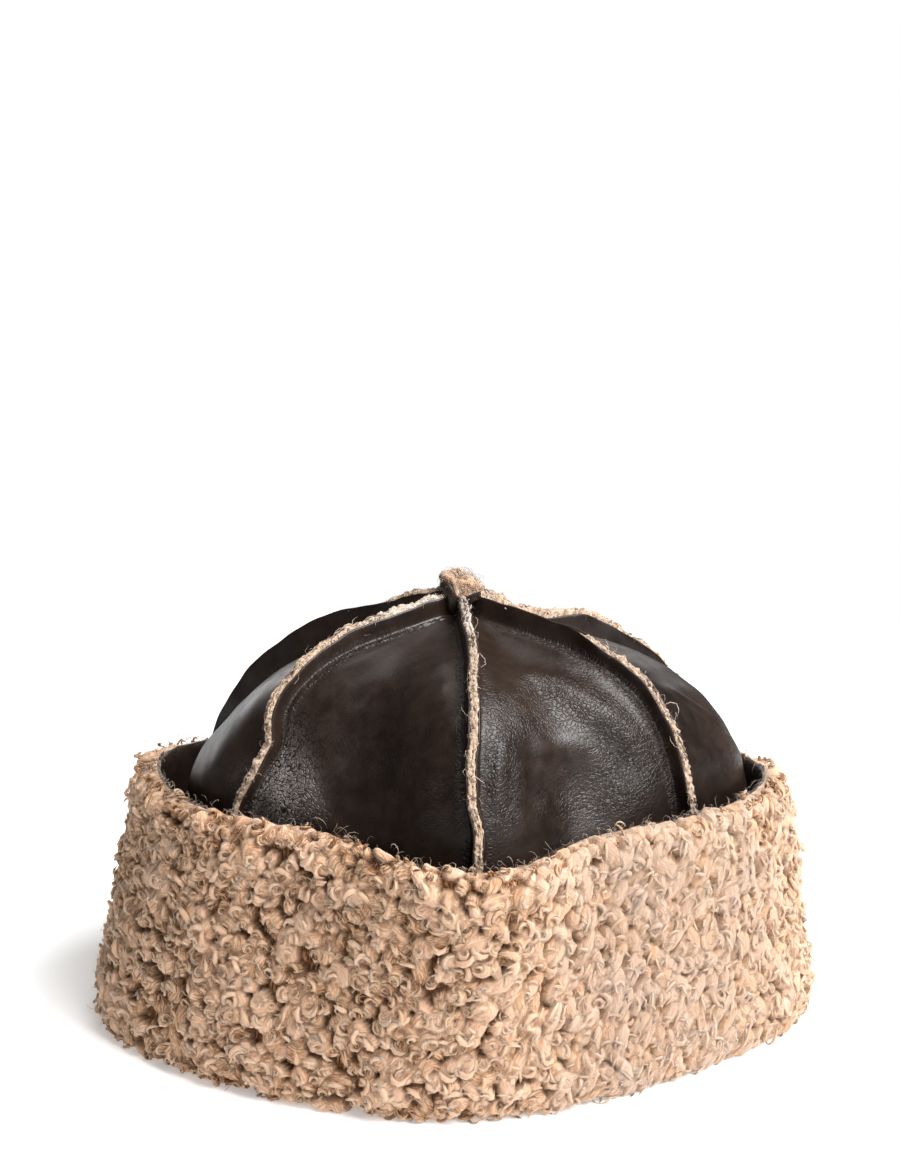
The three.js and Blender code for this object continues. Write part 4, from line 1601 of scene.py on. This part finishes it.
# %% Plant on the curls of the cuff
CUFF_PARTS = {"front_left": (294, 366), "front_right": (6, 78), "right": (78, 150), "back": (150, 222),
              "left": (222, 294)}
NOMINAL_RADIUS = 3.6
VALLEY_OUT = 7.0
CREST_OUT = 11.2
RIM_BAND = (1, 9)
RIM_SIZE = 0.62
ROOT_HEIGHT = 0.86
UNDER_FOLD = 108


def azimuth_of(points):
    """The azimuth of points, in degrees."""
    return np.degrees(np.arctan2(points[:, 0], -points[:, 1]))


def out_of_cuff(points):
    """How far points lie out of the cuff, from 0 in the valleys of the pile to 1 on its crests."""
    # The wool's colour paints shade where this is low.
    azimuth = azimuth_of(points)
    rim = plan_value(azimuth, "rim_height")
    aside = np.hypot(points[:, 0], points[:, 1]) - cuff_face(azimuth, np.clip(points[:, 2], 0, rim))
    above = points[:, 2] - rim + VALLEY_OUT
    below = VALLEY_OUT + 3 - points[:, 2]
    return (np.maximum(np.maximum(aside, above), below) - VALLEY_OUT) / (CREST_OUT - VALLEY_OUT)


def cuff_roots(start, end):
    """The roots of the curls between two azimuths, each in its curl's dimple. None are under the fold."""
    in_part = [curl for curl in curls if (curl["azimuth"] - start) % RIGHT_ROUND < end - start]
    picked = [curl for curl in in_part if pile.top + RIM_BAND[0] < curl["down"] < UNDER_FOLD]
    column = {label: np.array([curl[label] for curl in picked]) for label in picked[0]}
    is_wisp = column["wispy"] == 1
    shift = np.where(is_wisp, 0, column["dimple"] * column["radius"])
    around = column["around"] - shift * np.cos(column["turn"])
    down = column["down"] - shift * np.sin(column["turn"])
    away = pile.at(pile.normal, around, down)
    crest = column["base"] + ROOT_HEIGHT * column["height"]
    points = pile.at(pile.points, around, down) + away * crest[:, None]
    turn = np.where(is_wisp, math.pi, 0) - column["turn"]
    near_rim = mix(RIM_SIZE, 1.0, smooth_step(column["down"] - pile.top, *RIM_BAND))
    size = column["radius"] / NOMINAL_RADIUS * near_rim
    return make_roots(points, away, turn, column["wispy"], size, column["tint"], column["airy"])


for number, (part, (start, end)) in enumerate(CUFF_PARTS.items()):
    values = (2, 1.0, 0.42, 1.3, 0.0005, 100 + 20 * number)
    grow("cuff_locks_" + part, cuff_roots(start, end), plant_tresses, values, out_of_cuff)
    values = (1, 1.0, 0.7, 3.1, 0.0011, 300 + 20 * number)
    grow("cuff_hairs_" + part, cuff_roots(start, end), plant_hairs, values, out_of_cuff)

# %% Plant along the rim of the cuff
RIM_HAIR_STEP = 0.75
RIM_HAIR_BAND = (-1.0, 4.0)
FREE_OUTWARD = 0.72


def rim_roots():
    """Roots along the rim, whose hairs curl over the leather."""
    count = int(pile.lap / RIM_HAIR_STEP)
    chance = np.random.default_rng(430)
    around = chance.uniform(0, pile.lap, count)
    down = pile.top + chance.uniform(*RIM_HAIR_BAND, count)
    away = pile.at(pile.normal, around, down)
    points = pile.at(pile.points, around, down) + away * chance.uniform(0.4, 2.2, count)[:, None]
    away = unit(away + np.array([0, 0, 0.9]))
    size = chance.uniform(0.4, 1.15, count)
    turn = chance.uniform(0, 2 * math.pi, count)
    tint = chance.uniform(0.3, 1, count)
    return make_roots(points, away, turn, np.zeros(count), size, tint, wispy_at(azimuth_of(points)))


def even_outward(points):
    """The same share out for every point, on wool that stands free."""
    return np.full(len(points), FREE_OUTWARD)


grow("cuff_rim_hairs", rim_roots(), plant_hairs, (1, 1.0, 0.9, 3.1, 0.0005, 440), even_outward)

# %% [markdown]
# ## The tuft at the apex and the fuzz of the seams
#
# Where the six ribs meet, the wool of the back seams is left long and stands up as a small tuft. It is
# one body of wool with curls pressed into it, like the cuff, and tresses stand out of it. Thin curly
# hairs also escape from every seam, and they show against the dark leather.

# %% Build the apex tuft
# across and deep are its half widths to the right and to the back at each height, and aside is how far
# its middle lies to the right of the apex.
tuft_section = table_columns("height across deep aside", (
    (142.5, 2.4, 2.4, 0.0),
    (145.5, 2.8, 2.8, 0.0),
    (147.8, 3.9, 3.8, 0.0),
    (149.6, 5.2, 4.8, 0.4),
    (151.4, 6.6, 5.8, 0.8),
    (153.0, 6.7, 5.8, 0.9),
    (154.8, 5.6, 5.2, 0.2),
    (156.4, 3.9, 3.8, -0.8),
    (157.4, 1.7, 1.7, -1.4),
))
TUFT_TURNS = 72
TUFT_STEPS = 40
TUFT_MIDDLE = 151.5


def tuft_point(turn, share):
    """Points on the tuft at a turn about its middle, in radians, and a share of its height."""
    height, across, deep, aside = (down_table(tuft_section, share, column) for column in tuft_section)
    return stacked(APEX[0] + aside + across * np.sin(turn), APEX[1] - deep * np.cos(turn), height)


def make_tuft():
    """The body of the tuft, with lumps and furrows that run round its curls."""
    turn = np.arange(TUFT_TURNS)[:, None] * 2 * math.pi / TUFT_TURNS
    share = np.linspace(0, 1, TUFT_STEPS)[None, :]
    points = tuft_point(turn, share)
    away = unit(points - np.array([*APEX, TUFT_MIDDLE]))
    free = smooth_step(share, 0.2, 0.45)
    lumps = 1.1 * soft_noise(points, 6, 700) + 0.35 * soft_noise(points, 2.4, 701)
    points = points + away * (lumps * free)[..., None]
    strand = stacked(soft_noise(points, 9, 702) * 5, points[..., 0] * 0.5, points[..., 2] * 0.7)
    rows = np.arange(TUFT_TURNS) * TUFT_STEPS
    faces = list(grid_quads(TUFT_TURNS, TUFT_STEPS, ring_rows=True)[:, ::-1])
    faces += [rows[::-1], rows + TUFT_STEPS - 1]
    ones = np.ones(points.shape[:2])
    # outward paints shade at the foot of the tuft and low between its lumps.
    numbers = {"outward": (0.60 + 0.16 * lumps) * free, "tint": 0.5 * ones, "airy": 0.45 * free * ones}
    piece = make_object("apex_tuft_wool", points, faces, (wool,), numbers, {"strand": strand})
    hand_over(piece, "apex_tuft")


make_tuft()

# %% Curl the corners of the ribs up round the tuft
# Where the rib leaves end at the apex, their corners curl up round the tuft. Each leaf goes through three
# points from the apex, right, back and up in millimetres, and its half width stands square to its way,
# leaning by lean.
leaves = table_rows("side start middle end half_width lean", (
    ("left", (-1.9, -5.2, 143.6), (-2.9, -6.3, 150.4), (-6.4, -3.6, 154.0), 2.1, (0.55, -0.25, 0.8)),
    ("right", (1.8, -4.6, 146.2), (4.4, -5.4, 149.6), (7.4, -3.4, 149.4), 1.6, (-0.35, -0.3, 0.9)),
))
LEAF_SIDES = 12
LEAF_STEPS = 14
LEAF_THICKNESS = 0.9
LEAF_CUPPING = 0.25


def make_leaf(row):
    """A curled corner of leather at the apex."""
    path = curve_through(row, LEAF_STEPS)
    ahead = unit(np.gradient(path, axis=0))
    lean = np.array(row["lean"])
    wide = unit(lean - ahead * (ahead @ lean)[:, None])
    thin = np.cross(ahead, wide)
    share = np.linspace(0, 1, LEAF_STEPS)[:, None]
    taper = np.sqrt(np.clip(1 - (2 * share - 1) ** 6, 0.02, 1))
    turn = (np.arange(LEAF_SIDES) * 2 * math.pi / LEAF_SIDES)[None, :, None]
    half_width = row["half_width"]
    across = np.cos(turn) * (half_width * taper)[:, None]
    through = np.sin(turn) * (LEAF_THICKNESS / 2 * taper)[:, None] + LEAF_CUPPING * across**2 / half_width
    points = path[:, None] + across * wide[:, None] + through * thin[:, None] + np.array([*APEX, 0])
    faces = tube_faces(LEAF_STEPS, LEAF_SIDES)
    numbers = {"rubbed": np.zeros(points.shape[:2])}
    hand_over(make_object("apex_leaf_" + row["side"], points, faces, (leather,), numbers))


for row in leaves:
    make_leaf(row)

# %% Plant on the tuft
TUFT_LOCKS = 45
TUFT_HAIRS = 380
ROOTS_MIDDLE = 150.5


def tuft_roots(count, seed):
    """Roots on the upper part of the tuft."""
    chance = np.random.default_rng(seed)
    turn = chance.uniform(0, 2 * math.pi, count)
    share = chance.uniform(0.42, 0.97, count)
    points = tuft_point(turn, share)
    away = unit(points - np.array([*APEX, ROOTS_MIDDLE]))
    spin = chance.uniform(0, 2 * math.pi, count)
    size = chance.uniform(0.3, 0.52, count)
    tint = chance.uniform(0.2, 0.8, count)
    return make_roots(points, away, spin, np.zeros(count), size, tint, np.full(count, 0.45))


values = (1, 1.0, 0.5, 0.5, 0.0004, 500)
grow("apex_tuft_locks", tuft_roots(TUFT_LOCKS, 710), plant_tresses, values, even_outward, "apex_tuft")
values = (1, 1.5, 1.2, 3.1, 0.0003, 520)
grow("apex_tuft_hairs", tuft_roots(TUFT_HAIRS, 711), plant_hairs, values, even_outward)

# %% Grow the fuzz of the seams
SEAM_FUZZ_STEP = 1.0
SEAM_HAIR_LONG = 0.16
SEAM_ROOT_WIDTH = 0.8
SEAM_ROOT_LEVELS = np.linspace(0.02, VISIBLE_LEVEL, 400)
BURIED = -0.25


def seam_top(index, level):
    """Points along the top of a seam's rib."""
    return rib_point(index, level, 0 * level, 1 + 0 * level)


def seam_roots(index):
    """Roots along the top of a seam where it shows. Most hairs are short and some are long."""
    chance = np.random.default_rng(800 + 10 * index)
    length = run_length(seam_top(index, SEAM_ROOT_LEVELS))
    drawn = chance.uniform(0, length[-1], int(length[-1] / SEAM_FUZZ_STEP))
    level = np.interp(drawn, length, SEAM_ROOT_LEVELS)
    level = level[loose_wool(index, level, seam_top(index, level)) > BURIED]
    count = len(level)
    side = chance.uniform(-1, 1, count)
    out = chance.uniform(-0.3, 0.3, count)
    points = rib_point(index, level, side * SEAM_ROOT_WIDTH * RIB_WOOL, np.ones(count), out)
    _, normal, right = seam_frame(index, level)
    away = unit(normal + right * side[:, None] * 0.8)
    is_long = chance.uniform(0, 1, count) < SEAM_HAIR_LONG
    size = np.where(is_long, chance.uniform(0.9, 1.5, count), chance.uniform(0.3, 0.7, count))
    turn = chance.uniform(0, 2 * math.pi, count)
    tint = chance.uniform(0.2, 1, count)
    return make_roots(points, away, turn, np.zeros(count), size, tint, np.full(count, 0.3))


for index, seam in enumerate(seams):
    values = (1, 1.0, 1.0, 3.1, 0.0004, 600 + 20 * index)
    grow("seam_hairs_" + seam["name"], seam_roots(index), plant_hairs, values, even_outward)

# %% [markdown]
# ## Light, floor and world
#
# The hat stands on a white floor in an even white room. A large soft light above and to the right of us
# makes the gloss on the leather and the pale side of the wool, and a low one nearer to us opens the
# shadows between the curls. On the left a wide low light from behind shows the side of the fleece. A weak
# one above it gives the ribs near the apex their edge, and a weak one behind the hat does so on the
# right.

# %% Light the hat
HAT_MIDDLE = (0.0, 0.0, 0.07)
lights = table_rows("name azimuth elevation distance size watts", (
    ("key", 56, 55, 1.3, (1.0, 0.8), 38.5),
    ("fill", 30, 26, 1.5, (1.6, 1.2), 10),
    ("left", -158, 6, 1.3, (1.6, 0.4), 3.4),
    ("top", -150, 68, 1.3, (0.5, 0.4), 1.5),
    ("behind", 160, 14, 1.5, (0.5, 0.3), 0.7),
))
WORLD_LIGHT = 0.085


def add_light(name, azimuth, elevation, distance, size, watts):
    """A soft rectangular light that looks at the middle of the hat."""
    around = math.radians(azimuth)
    up = math.radians(elevation)
    way = (math.sin(around) * math.cos(up), -math.cos(around) * math.cos(up), math.sin(up))
    data = bpy.data.lights.new(name, "AREA")
    data.shape = "RECTANGLE"
    data.size, data.size_y = size
    data.energy = watts
    lamp = add_to_scene(name, data)
    lamp.location = [middle + distance * part for middle, part in zip(HAT_MIDDLE, way)]
    lamp.rotation_euler = (math.radians(90 - elevation), 0, around)


for row in lights:
    add_light(**row)


def make_world():
    """A white room that we see as plain white, and that lights the hat only softly."""
    world = bpy.data.worlds.new("white_room")
    world.use_nodes = True
    bench = Bench(world.node_tree)
    seen = bench.wire("ShaderNodeBackground", {}, {"Color": (1, 1, 1, 1), "Strength": 1.0})
    felt = bench.wire("ShaderNodeBackground", {}, {"Color": (1, 0.99, 0.98, 1), "Strength": WORLD_LIGHT})
    is_seen = bench.wire("ShaderNodeLightPath", output="Is Camera Ray")
    inputs = {"Fac": is_seen, "Shader": felt, "Shader_001": seen}
    bench.node("ShaderNodeOutputWorld", {}, {"Surface": bench.wire("ShaderNodeMixShader", {}, inputs)})
    bpy.context.scene.world = world


make_world()
bpy.context.scene.view_settings.view_transform = "Standard"
print(len(lights), "lights in a white room")

# %% Lay the floor
FLOOR_RADIUS = 620
FLOOR_SIDES = 96
FLOOR_GLOW = 0.32
FLOOR_WHITES = ((0.90, 0.90, 0.90, 1), (0.93, 0.93, 0.93, 1))


def make_floor():
    """A round white table top, which glows a little as a sheet of white paper lit from below does."""
    bench = MaterialBench("white_floor")
    material = bench.finish({
        "Base Color": bench.colour(*FLOOR_WHITES, bench.noise(bench.place(), 6, 2)),
        "Roughness": 0.7,
        "Specular IOR Level": 0.2,
        "Emission Color": (1, 0.99, 0.97, 1),
        "Emission Strength": FLOOR_GLOW,
    })
    turn = np.arange(FLOOR_SIDES) * 2 * math.pi / FLOOR_SIDES
    corners = FLOOR_RADIUS * stacked(np.cos(turn), np.sin(turn), 0)
    make_object("floor", corners, [np.arange(FLOOR_SIDES)], (material,), origin=0)


make_floor()
print("the floor is", FLOOR_RADIUS * 2, "mm wide")

# %% Remove the tress models and finish
for group in (crescents, wisps, hairs):
    for piece in list(group.objects):
        bpy.data.objects.remove(piece)
    bpy.data.collections.remove(group)
